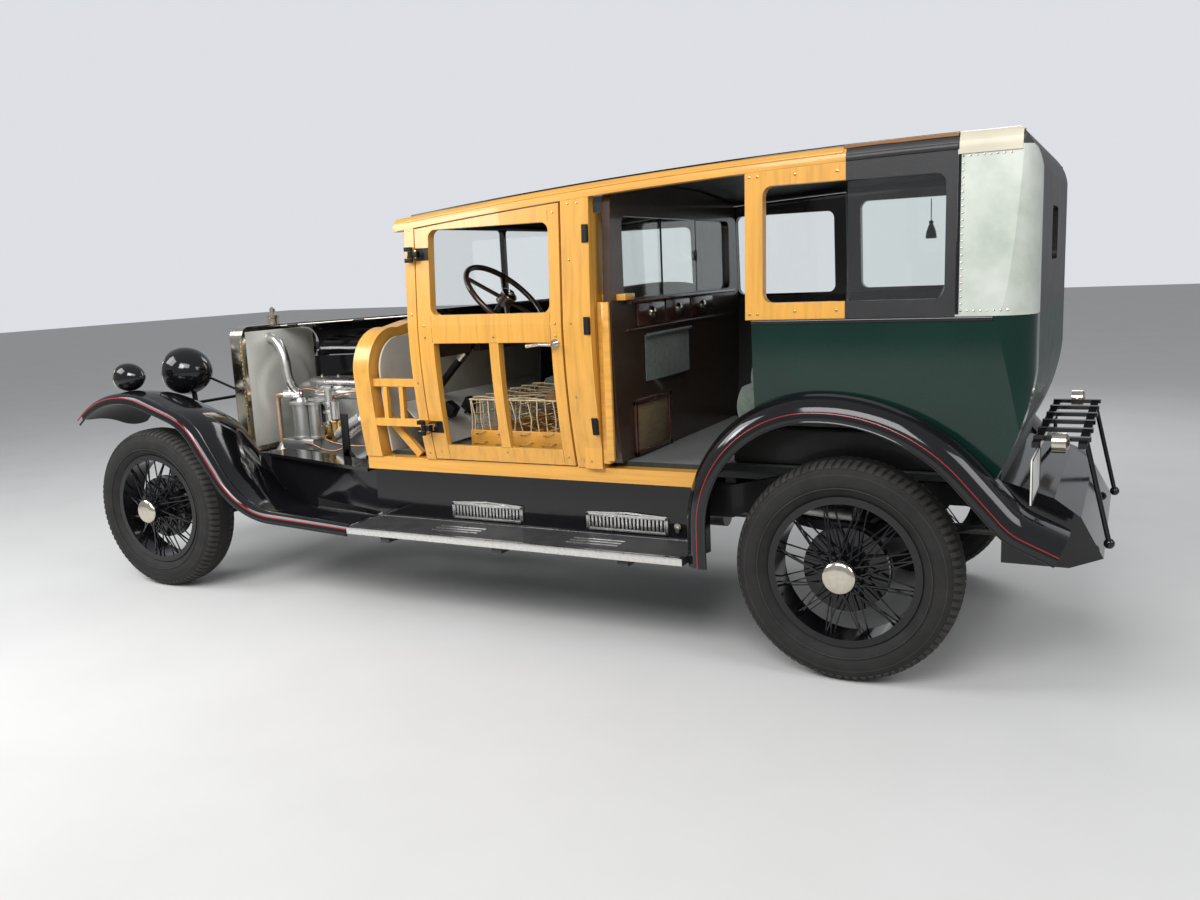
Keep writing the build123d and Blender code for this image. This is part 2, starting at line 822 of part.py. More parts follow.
ash_openings = [
    (1185, 1440, 822, 1275, 4),
    (1485, 1770, 822, 1275, 4),
]
door_table = [
    ("door_front_left", 1, door_front_x, [front_window] + ash_openings),
    ("door_front_right", -1, door_front_x, [front_window]),
    ("door_rear_right", -1, door_rear_x, [rear_window]),
]
for name, out, span, windows in door_table:
    with BuildPart() as door:
        add(door_panel(out, span, windows).part)
        if span is door_rear_x:
            cut_wheelhouse(-1, corner_y, door_wheelhouse)
        for z in hinge_heights:
            door_hinge(out, span, z)
    finish(door, name)


# Cowl, bulkhead and bonnet

def hood_outline(half_width, top, corner, bottom, tuck, inset):
    """End view of the cowl or bonnet, for use inside a line block."""
    w = half_width - inset
    t = top - inset
    r = max(corner - inset, 5)
    low = (w - tuck, bottom)
    hip = (w, 1130)
    mid = ((low[0] + hip[0]) / 2 + tuck / 8, (low[1] + hip[1]) / 2)
    shoulder = (w - r, t - r / 6)
    bend = (w - r * 0.27, t - r * 0.38)
    Line((-low[0], bottom), low)
    ThreePointArc(low, mid, hip)
    ThreePointArc(hip, bend, shoulder)
    ThreePointArc(shoulder, (0, t + 12), (-shoulder[0], shoulder[1]))
    ThreePointArc((-shoulder[0], shoulder[1]), (-bend[0], bend[1]), (-hip[0], hip[1]))
    ThreePointArc((-hip[0], hip[1]), (-mid[0], mid[1]), (-low[0], bottom))


cowl_corner = 225
cowl_split_y = 400

with BuildPart() as hoop_ring:
    with BuildSketch(across(cowl_x - hoop_depth)) as hoop_face:
        with BuildLine():
            hood_outline(cowl_half_width, cowl_top, cowl_corner, sill_top, 48, 0)
        make_face()
        with BuildLine():
            hood_outline(cowl_half_width, cowl_top, cowl_corner, sill_top, 48, hoop_wall)
        make_face(mode=Mode.SUBTRACT)
    extrude(amount=hoop_depth)
with BuildPart() as cowl_zone:
    box((1800, 2400), (cowl_split_y, 900), (600, 1500))
with BuildPart() as cowl_frame:
    add(hoop_ring.part)
    add(cowl_zone.part, mode=Mode.INTERSECT)
finish(cowl_frame, "cowl_frame")

with BuildPart() as cowl_skin:
    with BuildSketch(across(body_front + seat_gap)):
        with BuildLine():
            hood_outline(cowl_half_width, cowl_top, cowl_corner, body_bottom, 60, 0)
        make_face()
        with BuildLine():
            hood_outline(cowl_half_width, cowl_top, cowl_corner, body_bottom, 60, wall)
        make_face(mode=Mode.SUBTRACT)
    extrude(amount=cowl_x - body_front - seat_gap)
    with BuildSketch(level(600)):
        with Locations((2100, (cowl_split_y + 900) / 2)):
            Rectangle(600, 900 - cowl_split_y + 2 * seat_gap)
    extrude(amount=900, mode=Mode.SUBTRACT)
finish(cowl_skin, "cowl_skin")

with BuildPart() as bulkhead:
    with BuildSketch(across(2130)):
        with BuildLine():
            hood_outline(cowl_half_width, cowl_top, cowl_corner, floor_top + seat_gap, 46, wall + 10)
        make_face()
        column_z = wheel_rim_z - (2130 - wheel_rim_x)
        with Locations((column_y, column_z - 4)):
            Rectangle(70, 90, mode=Mode.SUBTRACT)
    extrude(amount=8)
finish(bulkhead, "bulkhead")

# The bonnet's centre hinge: a fixed rod, and the bonnet's barrels around it
rod_drop = 9.5
rod_radius = 4
rod_ends = (cowl_x + seat_gap, radiator_x[0] - seat_gap)


def hinge_rod_point(x):
    """A point on the bonnet's hinge line, just under its top sheet."""
    rear, front = cowl_top + 8 - rod_drop, radiator_top - 2 - rod_drop
    return (x, 0, rear + (front - rear) * (x - cowl_x - 8) / (bonnet_front_x - cowl_x - 8))


with BuildPart() as bonnet_rod:
    rod(hinge_rod_point(rod_ends[0]), hinge_rod_point(rod_ends[1]), rod_radius)
finish(bonnet_rod, "bonnet_rod")


def bonnet_sheet(rear, front):
    """The bonnet's right half, centre line to chassis, between two x values."""
    with BuildPart() as sheet:
        for inset, mode in ((0, Mode.ADD), (skin, Mode.SUBTRACT)):
            with BuildSketch(across(rear)):
                with BuildLine():
                    hood_outline(cowl_half_width - 6, cowl_top - 4, cowl_corner, body_bottom + 3 - inset, 50, inset)
                make_face()
            with BuildSketch(across(front)):
                with BuildLine():
                    hood_outline(radiator_half_width - 8, radiator_top - 14, 90, body_bottom + 3 - inset, 8, inset)
                make_face()
            loft(mode=mode)
        with BuildSketch(level(600)):
            with Locations((2800, 500)):
                Rectangle(1400, 1000 + 2)
        extrude(amount=900, mode=Mode.SUBTRACT)
    return sheet


# The top leaf lifts on the centre rod, and the side panel below it is latched between cowl and radiator
leaf_bottom = 1130
leaf_gap = 5
leaf_front_x = bonnet_front_x - 4
with BuildPart() as side_zone:
    box((cowl_x, radiator_x[0]), (-900, -200), (500, leaf_bottom - leaf_gap))
with BuildPart() as bonnet_side_right:
    add(bonnet_sheet(cowl_x + seat_gap, radiator_x[0] - seat_gap).part)
    add(side_zone.part, mode=Mode.INTERSECT)
finish(bonnet_side_right, "bonnet_side_right")

with BuildPart() as leaf_zone:
    box((cowl_x, leaf_front_x), (-900, 0), (leaf_bottom, 1500))
with BuildPart() as bonnet_right:
    add(bonnet_sheet(cowl_x + 8, bonnet_front_x).part)
    add(leaf_zone.part, mode=Mode.INTERSECT)
    for x in (2320, 2800, 3280):
        rod(hinge_rod_point(x), hinge_rod_point(x + 70), 2 * rod_radius)
    start, end = Vector(*hinge_rod_point(2300)), Vector(*hinge_rod_point(3370))
    with BuildSketch(Plane(origin=start + Vector(rear_axle_x, 0, 0), z_dir=end - start)):
        Circle(rod_radius + pin_gap)
    extrude(amount=(end - start).length, mode=Mode.SUBTRACT)
finish(bonnet_right, "bonnet_right")


# Floor on its bearers, and what stands on it

floor_half = sill_inner - seat_gap
bearer_half = 595
with BuildPart() as floor:
    box((-470, 2140), (-floor_half, floor_half), (floor_top - 25, floor_top))
    for x in (700, 1250, 1690):
        box((x, x + 70), (-bearer_half, bearer_half), (rail_top, floor_top - 25))
    for out in (-1, 1):
        cut_wheelhouse(out, wheelhouse_wall)
finish(floor, "floor")

seated_form = body_form(wall + seat_gap)
clear_form = body_form(wall + door_gap + 1)


def inside_body(form, x, z):
    """A slab across the cabin that follows the walls, for use inside a part's block."""
    add(form.part)
    with BuildSketch(side(1000)) as slab:
        with Locations(((x[0] + x[1]) / 2, (z[0] + z[1]) / 2)):
            Rectangle(x[1] - x[0], z[1] - z[0])
    extrude(slab.sketch, amount=2000, mode=Mode.INTERSECT)


with BuildPart() as partition:
    inside_body(clear_form, (930, 965), (floor_top + seat_gap, 2200))
    with BuildSketch(across(900)):
        with Locations((0, 1600)):
            RectangleRounded(1240, 330, window_corner)
    extrude(amount=200, mode=Mode.SUBTRACT)
finish(partition, "partition")

screen_bottom = 1345
with BuildPart() as dashboard:
    inside_body(seated_form, (1855, 1895), (1200, screen_bottom - seat_gap))
    with BuildSketch(across(1850)):
        with Locations((column_y, 1235)):
            Rectangle(74, 120)
    extrude(amount=50, mode=Mode.SUBTRACT)
finish(dashboard, "dashboard")

with BuildPart() as windscreen:
    inside_body(seated_form, (1872, body_front), (screen_bottom, 2200))
    with BuildSketch(across(1860)):
        for y in (-342, 342):
            with Locations((y, 1590)):
                RectangleRounded(664, 350, 20)
    extrude(amount=60, mode=Mode.SUBTRACT)
finish(windscreen, "windscreen")

with BuildPart() as front_seat:
    with BuildSketch(side(620)):
        with BuildLine():
            Polyline(
                (1010, floor_top + seat_gap),
                (1740, floor_top + seat_gap),
                (1740, 1050),
                (1180, 1040),
                (1120, 1450),
                (1000, 1450),
                close=True,
            )
        make_face()
    extrude(amount=1240)
finish(front_seat, "front_seat")

with BuildPart() as rear_seat:
    with BuildSketch(side(590)):
        with BuildLine():
            Polyline(
                (-470, floor_top + seat_gap),
                (500, floor_top + seat_gap),
                (500, 1090),
                (-130, 1070),
                (-330, 1600),
                (-540, 1600),
                (-480, 1000),
                close=True,
            )
        make_face()
    extrude(amount=1180)
finish(rear_seat, "rear_seat")


# Steering column and wheel

column_dir = (math.sqrt(0.5), -math.sqrt(0.5))


def on_column(run):
    """A point down the steering column, a distance from the wheel's centre."""
    return (wheel_rim_x + column_dir[0] * run, column_y, wheel_rim_z + column_dir[1] * run)


with BuildPart() as steering_column:
    rod(on_column(25 + seat_gap), on_column(column_length), column_radius)
    rod(on_column(-10), on_column(60), spindle_radius)
    foot = on_column(column_length)
    box((foot[0] - 60, foot[0] + 60), (column_y - 55, inner_rail - seat_gap), (foot[2] - 80, foot[2] + 60))
finish(steering_column, "steering_column")

with BuildPart() as steering_wheel:
    hub = on_column(0)
    wheel_face = Plane(
        origin=(rear_axle_x + hub[0], hub[1], hub[2]),
        x_dir=(0, 1, 0),
        z_dir=(-column_dir[0], 0, -column_dir[1]),
    )
    with BuildSketch(Plane(origin=wheel_face.origin, x_dir=(0, 1, 0), z_dir=wheel_face.y_dir)):
        with Locations((wheel_rim_radius, 0)):
            Circle(13)
    revolve(axis=Axis(wheel_face.origin, wheel_face.z_dir))
    with BuildSketch(wheel_face.offset(-25)):
        Circle(38)
    extrude(amount=55)
    with BuildSketch(wheel_face.offset(-6)):
        for angle in (45, 135, 225, 315):
            with Locations(Location((0, 0, 0), angle)):
                with Locations((wheel_rim_radius / 2, 0)):
                    Rectangle(wheel_rim_radius - 8, 22)
    extrude(amount=10)
    with BuildSketch(wheel_face.offset(-26)):
        Circle(spindle_radius + pin_gap)
    extrude(amount=37, mode=Mode.SUBTRACT)
finish(steering_wheel, "steering_wheel")


# Wings, running boards and valances

def wing(lip, bends, profile, x_dir):
    """A crowned sheet swept along a wing's lip. The profile's rows are (reach in from the lip, rise)."""
    points = [(rear_axle_x + x, wing_outer, z) for x, z in lip]
    with BuildLine() as path:
        FilletPolyline(*points, radius=bends)
    sign = x_dir[1]
    outer = [(-sign * inward, rise) for inward, rise in profile]
    inner = [(-sign * (inward + shift), rise - sink) for (inward, rise), shift, sink in zip(
        profile, (wing_sheet, wing_sheet, 3, 3, 0), (0, 3, wing_sheet, wing_sheet, wing_sheet))]
    with BuildSketch(Plane(origin=path.line @ 0, x_dir=x_dir, z_dir=path.line % 0)) as section:
        with BuildLine():
            ThreePointArc(*outer[:3])
            ThreePointArc(*outer[2:])
            Line(outer[4], inner[4])
            ThreePointArc(*inner[2:])
            ThreePointArc(*inner[:3])
            Line(inner[0], outer[0])
        make_face()
    return sweep(section.sketch, path=path.line, mode=Mode.ADD)


with BuildPart() as front_wings:
    wing(front_lip, front_bends, [(0, 0), (9, 36), (52, 50), (230, 44), (418, -30)], (0, 1, 0))
    with BuildSketch(level(300)):
        with Locations((3000, (wing_outer + 440) / 2)):
            RectangleRounded(2 * 1115, wing_outer - 430, 130)
    extrude(amount=900, mode=Mode.INTERSECT)
    box((3540, 3580), (outer_rail + seat_gap, 470), (580, 640))
    box((3556, 3564), (457, 465), (600, 928))
    mirror(about=Plane.XZ)
finish(front_wings, "front_wings")

with BuildPart() as rear_wings:
    wing(rear_lip, rear_bends, [(0, 0), (10, 58), (70, rear_crown - 0.5), (160, 94), (248, 78)], (0, -1, 0))
    mirror(about=Plane.XZ)
finish(rear_wings, "rear_wings")

board_low = board_top - board_edge
with BuildPart() as running_boards:
    box(board_x, board_y, (board_low, board_top))
    for x in (850, 1450, 2050):
        box((x, x + 50), (outer_rail + seat_gap, 850), (board_low - 28, board_low - seat_gap))
        box((x, x + 50), (board_y[0] + 4, 850), (board_low - 20, board_low + 2))
        box((x, x + 50), (outer_rail + seat_gap, outer_rail + 20), (board_low - 28, 560))
    mirror(about=Plane.XZ)
finish(running_boards, "running_boards")

with BuildPart() as valances:
    with BuildSketch(level(board_low)):
        with BuildLine():
            Polyline((640, valance_y), (2300, valance_y), (3120, 460), (3118, 455), (2299, 598), (640, 598), close=True)
        make_face()
    extrude(amount=672 - board_low)
    with BuildSketch(level(672)):
        with BuildLine():
            Polyline((2256, 715), (3100, 495), (3100, 343), (2256, 560), close=True)
        make_face()
    extrude(amount=16)
    extrude(front_wheelhouse, amount=700, mode=Mode.SUBTRACT)
    mirror(about=Plane.XZ)
finish(valances, "valances")

with BuildPart() as vents:
    for x0, x1 in ((775, 1158), (1480, 1860)):
        for y in ((valance_y + seat_gap, valance_y + 6), (-valance_y - 6, -valance_y - seat_gap)):
            box((x0, x1), y, (455, 530))
finish(vents, "vents")


# Lamps, plate, rack and tank

lamp_tip = 8


def bullet(x, y, z, radius, length):
    """A lamp's pear-shaped shell, lens forward."""
    middle = Plane(origin=(rear_axle_x + x, y, z), x_dir=(1, 0, 0), z_dir=(0, 0, 1))
    with BuildSketch(middle) as half:
        with BuildLine():
            front = length * 0.42
            back = front - length
            Polyline((back, lamp_tip), (back, 0), (front + 8, 0), (front + 8, lamp_tip))
            ThreePointArc((front + 8, lamp_tip), (front + 5, radius * 0.6), (front - 6, radius))
            ThreePointArc((front - 6, radius), (back * 0.45, radius * 0.82), (back, lamp_tip))
        make_face()
    revolve(half.sketch, axis=Axis(middle.origin, (1, 0, 0)))


lamp_x, lamp_y, lamp_z = 3690, 420, 1107
side_lamp = (3800, 715, 1106)
side_lamp_seat = side(1000) * below_wing(front_lip, front_bends, front_crown + seat_gap)
with BuildPart() as side_lamps:
    for out in (-1, 1):
        bullet(side_lamp[0], out * side_lamp[1], side_lamp[2], 70, 150)
        rod((side_lamp[0], out * side_lamp[1], side_lamp[2] - 40), (side_lamp[0], out * side_lamp[1], 1000), 9)
    extrude(side_lamp_seat, amount=2000, mode=Mode.SUBTRACT)
with BuildPart() as front_lamps:
    for out in (-1, 1):
        bullet(lamp_x, out * lamp_y, lamp_z, 125, 210)
        rod((lamp_x, out * 390, 648), (lamp_x, out * 414, 1010), 14)
        box((lamp_x - 26, lamp_x + 26), sorted((out * 370, out * 408)), (645.4, 655))
    rod((lamp_x, -412, 930), (lamp_x, 412, 930), 9)
    add(side_lamps.part)
finish(front_lamps, "front_lamps")

rack_z = (870, 890, 905)
with BuildPart() as luggage_rack:
    for x in (-640, -790):
        box((x, x + 30), (-550, 550), rack_z[:2])
    for i in range(6):
        y = -500 + i * 200
        box((-800, -612), (y - 15, y + 15), rack_z[1:])
    for y in (-450, 450):
        rod((-783, y, 880), (-868, y, 515), 9)
        with Locations((rear_axle_x - 868, y, 515)):
            Sphere(18)
        rod((-625, y, 880), (-625, y, 713), 8)
finish(luggage_rack, "luggage_rack")

tank_front = rail_rear - seat_gap
with BuildPart() as fuel_tank:
    with BuildSketch(side(540)):
        with BuildLine():
            Polyline(
                (tank_front, 744),
                (-689, 689),
                (-778, 625),
                (-854, 482),
                (-745, 438),
                (tank_front, 438),
                close=True,
            )
        make_face()
    extrude(amount=1080)
finish(fuel_tank, "fuel_tank")

with BuildPart() as rear_lamps:
    for out in (-1, 1):
        rod((-680, out * 590, 898), (-725, out * 590, 898), 36)
        rod((-702, out * (515 + seat_gap), 898), (-702, out * 580, 898), 6)
finish(rear_lamps, "rear_lamps")

with BuildPart() as number_plate:
    box((-634, -629), (470, 790), (715, rack_z[0] - seat_gap))
finish(number_plate, "number_plate")
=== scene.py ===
"""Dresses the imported 1920s car: materials, tyres, wings, seats, engine, glass, trim and lamps."""
import math

import bmesh
import bpy
from mathutils import Matrix, Vector, noise
from mathutils.bvhtree import BVHTree


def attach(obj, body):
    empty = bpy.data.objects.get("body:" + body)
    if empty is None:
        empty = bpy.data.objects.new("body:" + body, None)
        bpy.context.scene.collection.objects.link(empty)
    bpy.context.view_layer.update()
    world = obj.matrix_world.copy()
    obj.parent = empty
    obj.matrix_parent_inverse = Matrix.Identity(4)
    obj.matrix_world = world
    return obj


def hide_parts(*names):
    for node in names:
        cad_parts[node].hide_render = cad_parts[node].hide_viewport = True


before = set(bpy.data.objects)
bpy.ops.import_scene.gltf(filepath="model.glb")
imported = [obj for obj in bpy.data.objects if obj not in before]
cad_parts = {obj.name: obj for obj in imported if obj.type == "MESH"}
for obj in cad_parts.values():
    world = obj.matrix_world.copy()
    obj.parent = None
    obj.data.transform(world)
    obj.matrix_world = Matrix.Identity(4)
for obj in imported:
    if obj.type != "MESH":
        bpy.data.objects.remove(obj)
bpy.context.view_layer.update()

# Metres. Every x below is a distance forward of the rear axle, as in the part's source.
REAR_AXLE_X = -1.6145
WHEELBASE = 3.63
WHEEL_Y = 0.725
AXLE_Z = 0.42
TYRE_RADIUS = 0.42
WING_OUTER = 0.868
BELT_Z = 1.350
FORWARD, UP = Vector((1, 0, 0)), Vector((0, 0, 1))


def at(x, y, z):
    """A point given from the rear axle."""
    return Vector((x + REAR_AXLE_X, y, z))


def between(low, high, count):
    """count + 1 values from low to high."""
    return [low + (high - low) * i / count for i in range(count + 1)]


# Camera, solved from the photograph: place in the rear axle's frame, angles in degrees, lens in millimetres
CAMERA_AT = (-0.9232, 4.4425, 1.5642)
CAMERA_YAW, CAMERA_PITCH, CAMERA_ROLL = 27.566, 9.967, -2.621
CAMERA_LENS = 31.067


def make_camera():
    yaw, pitch, roll = (math.radians(a) for a in (CAMERA_YAW, CAMERA_PITCH, CAMERA_ROLL))
    ahead = Vector((math.sin(yaw) * math.cos(pitch), -math.cos(yaw) * math.cos(pitch), -math.sin(pitch)))
    level_right = ahead.cross(UP).normalized()
    level_up = level_right.cross(ahead)
    right = math.cos(roll) * level_right + math.sin(roll) * level_up
    up = -math.sin(roll) * level_right + math.cos(roll) * level_up
    data = bpy.data.cameras.new("camera")
    data.sensor_fit = "HORIZONTAL"
    data.sensor_width = 36.0
    data.lens = CAMERA_LENS
    data.clip_end = 100.0
    camera = bpy.data.objects.new("camera", data)
    turn = Matrix((right, up, -ahead)).transposed().to_4x4()
    camera.matrix_world = Matrix.Translation(at(*CAMERA_AT)) @ turn
    bpy.context.scene.collection.objects.link(camera)
    bpy.context.scene.camera = camera


# Materials

def feed(tree, node, inputs):
    """Sets a node's inputs: a value is stored, another node's output is linked."""
    for key, value in inputs.items():
        if isinstance(value, bpy.types.NodeSocket):
            tree.links.new(value, node.inputs[key])
        else:
            node.inputs[key].default_value = value


def add_node(tree, kind, inputs, **settings):
    node = tree.nodes.new(kind)
    for key, value in settings.items():
        setattr(node, key, value)
    feed(tree, node, inputs)
    return node


def shade(colour, factor):
    return tuple(min(1.0, c * factor) for c in colour)


class Shader:
    """A Principled material whose colour, gloss and relief vary over the object's own coordinates."""

    def __init__(self, name, roughness=0.5, metallic=0.0, coat=0.0, sheen=0.0, specular=0.5):
        self.material = bpy.data.materials.new(name)
        self.material.use_nodes = True
        self.tree = self.material.node_tree
        self.coordinates = self.add("ShaderNodeTexCoord", {}).outputs["Object"]
        self.surface({"Roughness": roughness, "Metallic": metallic, "Coat Weight": coat,
                      "Coat Roughness": 0.05, "Sheen Weight": sheen, "Specular IOR Level": specular})

    def add(self, kind, inputs, **settings):
        return add_node(self.tree, kind, inputs, **settings)

    def surface(self, inputs):
        feed(self.tree, self.tree.nodes["Principled BSDF"], inputs)

    def place(self, scale):
        """The object's coordinates, stretched by one scale or by a scale per axis."""
        stretch = scale if isinstance(scale, tuple) else (scale,) * 3
        return self.add("ShaderNodeMapping", {"Scale": stretch, "Vector": self.coordinates}).outputs["Vector"]

    def noise(self, scale, detail=4.0, roughness=0.55, distortion=0.0):
        inputs = {"Vector": self.place(scale), "Scale": 1.0, "Detail": detail, "Roughness": roughness,
                  "Distortion": distortion}
        return self.add("ShaderNodeTexNoise", inputs).outputs["Fac"]

    def cells(self, scale, feature="F1"):
        inputs = {"Vector": self.place(scale), "Scale": 1.0}
        return self.add("ShaderNodeTexVoronoi", inputs, feature=feature).outputs["Distance"]

    def ramp(self, source, stops):
        """A colour ramp: stops are (position, colour)."""
        node = self.add("ShaderNodeValToRGB", {"Fac": source})
        while len(node.color_ramp.elements) < len(stops):
            node.color_ramp.elements.new(0.5)
        for element, (position, colour) in zip(node.color_ramp.elements, stops):
            element.position = position
            element.color = (*colour, 1.0)
        return node.outputs["Color"]

    def colour(self, source, stops):
        self.surface({"Base Color": self.ramp(source, stops)})

    def tones(self, source, colour, *stops):
        """Tones of one colour: stops are (position, factor)."""
        self.colour(source, [(position, shade(colour, factor)) for position, factor in stops])

    def gloss(self, source, low, high):
        """Roughness between two values."""
        spread = self.add("ShaderNodeMapRange", {"Value": source, "To Min": low, "To Max": high})
        self.surface({"Roughness": spread.outputs["Result"]})

    def relief(self, source, distance, strength=1.0, edge=0.0):
        """Bump from a source, over edges that are eased by a radius."""
        inputs = {"Height": source, "Distance": distance, "Strength": strength}
        if edge:
            inputs["Normal"] = self.add("ShaderNodeBevel", {"Radius": edge}, samples=6).outputs["Normal"]
        self.surface({"Normal": self.add("ShaderNodeBump", inputs).outputs["Normal"]})


def enamel(name, colour, roughness=0.12):
    """Gloss coach paint with faint orange peel and dust."""
    s = Shader(name, coat=0.15, specular=0.4)
    s.tones(s.noise(3), colour, (0.3, 0.85), (0.75, 1.2))
    s.gloss(s.noise(9), roughness * 0.7, roughness * 1.6)
    s.relief(s.noise(130, 2), 0.0002, 0.25)
    return s.material


def metal(name, colour, low, high, grain=60, wear=0.8):
    s = Shader(name, metallic=1.0)
    s.tones(s.noise(grain, 3), colour, (0.25, wear), (0.8, 1.0))
    s.gloss(s.noise(14), low, high)
    s.relief(s.noise(4 * grain, 2), 0.0003, 0.2)
    return s.material


def wood(name, colour, stretch, roughness=0.32, coat=0.35):
    """Straight grained timber. stretch is the noise scale per axis, small along the grain."""
    s = Shader(name, coat=coat)
    grain = s.noise(stretch, 6, 0.62, 0.4)
    s.tones(grain, colour, (0.22, 0.72), (0.5, 1.0), (0.82, 1.16))
    s.gloss(grain, roughness * 1.3, roughness * 0.8)
    s.relief(s.noise(tuple(3 * k for k in stretch), 3), 0.0004, 0.35, 0.0035)
    return s.material


def cloth(name, colour, weave=900, roughness=0.9, sheen=0.3):
    s = Shader(name, roughness=roughness, sheen=sheen, specular=0.2)
    s.tones(s.noise(40), colour, (0.3, 0.75), (0.75, 1.25))
    s.relief(s.noise(weave, 2), 0.0012, 0.6)
    return s.material


def leathercloth(name, colour, roughness=0.42):
    s = Shader(name, coat=0.1)
    s.tones(s.noise(6), colour, (0.3, 0.8), (0.75, 1.3))
    s.gloss(s.noise(25), roughness * 0.85, roughness * 1.2)
    s.relief(s.cells(320, "SMOOTH_F1"), 0.0009, 0.5)
    return s.material


def rubber(name, colour, roughness=0.75):
    s = Shader(name, specular=0.3)
    s.tones(s.noise(14), colour, (0.3, 0.8), (0.75, 1.35))
    s.gloss(s.noise(30), roughness * 0.85, roughness * 1.1)
    s.relief(s.noise(420, 3), 0.0006, 0.4)
    return s.material


def clear_glass(name, tint):
    s = Shader(name, roughness=0.02)
    s.surface({"Transmission Weight": 1.0, "IOR": 1.45})
    s.tones(s.noise(2), tint, (0.3, 0.98), (0.8, 1.0))
    return s.material


def primed_steel(name):
    """Primed steel in pale grey green, mottled where it has been rubbed down."""
    s = Shader(name, metallic=0.25)
    s.colour(s.noise(5, 6, 0.6),
             [(0.3, (0.40, 0.45, 0.38)), (0.5, (0.52, 0.56, 0.50)), (0.75, (0.64, 0.66, 0.60))])
    s.gloss(s.noise(18), 0.28, 0.5)
    s.relief(s.noise(90, 4), 0.0004, 0.4)
    return s.material


def honeycomb_with_painted_shade(name):
    """The radiator's core of fine upright tubes, with painted shade: the middles of its cells are near black,
    as for the shade inside its openings.
    """
    s = Shader(name, metallic=0.8)
    cells = s.cells(160)
    # Painted shade: near black in the cells' middles, where the openings lie in shade, and grey on the walls
    # between them
    s.colour(cells, [(0.15, (0.01, 0.01, 0.01)), (0.7, (0.16, 0.15, 0.13))])
    s.gloss(cells, 0.3, 0.6)
    s.relief(cells, 0.002, 0.8)
    return s.material


def two_tone(name, upper, lower, gloss, coat):
    """Paint in two colours that meet under the belt moulding."""
    s = Shader(name, coat=coat, specular=0.4)
    height = s.add("ShaderNodeSeparateXYZ", {"Vector": s.coordinates}).outputs["Z"]
    above = s.add("ShaderNodeMath", {0: height, 1: BELT_Z}, operation="GREATER_THAN").outputs["Value"]
    dust = s.noise(3)
    below_colour, above_colour = (s.ramp(dust, [(0.0, shade(c, 0.85)), (1.0, shade(c, 1.2))])
                                  for c in (lower, upper))
    # Sockets 6 and 7 are the mix node's two colours, and output 2 is the mixed one
    mix = s.add("ShaderNodeMix", {"Factor": above, 6: below_colour, 7: above_colour}, data_type="RGBA")
    s.surface({"Base Color": mix.outputs[2]})
    s.gloss(s.noise(9), *gloss)
    s.relief(s.noise(130, 2), 0.0002, 0.25)
    return s.material


ASH = (0.66, 0.325, 0.052)
GREEN, BLACK = (0.003, 0.021, 0.0145), (0.006, 0.006, 0.007)
ash_along_x = wood("ash_along_x", ASH, (1.6, 42, 42))
ash_upright = wood("ash_upright", ASH, (42, 42, 1.6))
ash_hoop = wood("ash_hoop", ASH, (24, 9, 9))
green_enamel = enamel("green_enamel", GREEN, 0.10)
black_enamel = enamel("black_enamel", BLACK, 0.08)
chassis_enamel = enamel("chassis_enamel", (0.010, 0.010, 0.011), 0.3)
red_line = enamel("red_line", (0.32, 0.012, 0.016), 0.2)
black_cloth = leathercloth("black_leathercloth", (0.012, 0.012, 0.013))
roof_cloth = leathercloth("roof_leathercloth", (0.022, 0.022, 0.023), 0.5)
cream_trim = enamel("cream_trim", (0.62, 0.57, 0.44), 0.35)
tyre_rubber = rubber("tyre_rubber", (0.016, 0.015, 0.0145))
tread_rubber = rubber("tread_rubber", (0.034, 0.032, 0.030), 0.8)
mat_rubber = rubber("mat_rubber", (0.040, 0.040, 0.041), 0.5)
nickel = metal("nickel", (0.72, 0.67, 0.57), 0.10, 0.22)
brass = metal("brass", (0.62, 0.42, 0.16), 0.18, 0.36)
copper = metal("copper", (0.42, 0.24, 0.16), 0.3, 0.5)
pale_copper = metal("pale_copper", (0.86, 0.62, 0.46), 0.3, 0.5)
aluminium = metal("polished_aluminium", (0.86, 0.85, 0.82), 0.20, 0.38)
cast_metal = metal("cast_metal", (0.60, 0.60, 0.58), 0.34, 0.52, 120, 0.75)
steel = metal("dark_steel", (0.20, 0.19, 0.18), 0.35, 0.55)
iron_black = metal("iron_black", (0.035, 0.035, 0.036), 0.4, 0.6)
steel_wire = metal("spring_wire", (0.55, 0.45, 0.28), 0.3, 0.5)
pale_sheet = enamel("pale_sheet", (0.60, 0.60, 0.55), 0.4)
plate_white = enamel("plate_white", (0.72, 0.71, 0.67), 0.3)
dark_wood = wood("dark_wood", (0.045, 0.024, 0.014), (1.6, 30, 30), 0.3, 0.4)
rich_wood = wood("stained_wood", (0.060, 0.020, 0.012), (30, 3, 30), 0.25, 0.5)
brown_wood = wood("brown_wood", (0.24, 0.11, 0.035), (2, 40, 40), 0.4, 0.1)
burr_panel = wood("burr_panel", (0.26, 0.19, 0.10), (30, 14, 60), 0.45, 0.2)
grey_cloth = cloth("grey_green_cloth", (0.10, 0.125, 0.105))
carpet = cloth("carpet", (0.030, 0.037, 0.031), 500, 0.98)
cream_cord = cloth("cream_cord", (0.62, 0.50, 0.30), 1500)
hair = cloth("hair_stuffing", (0.19, 0.10, 0.045), 260, 1.0, 0.1)
dark_leather = leathercloth("dark_trim_leather", (0.016, 0.015, 0.014), 0.5)
glass = clear_glass("window_glass", (0.93, 0.97, 0.95))
pale_panel = primed_steel("primed_panel")
core_with_painted_shade = honeycomb_with_painted_shade("radiator_core")
body_two_tone = two_tone("body_two_tone", BLACK, GREEN, (0.07, 0.17), 0.15)
back_two_tone = two_tone("back_two_tone", (0.013, 0.013, 0.014), GREEN, (0.34, 0.48), 0.0)

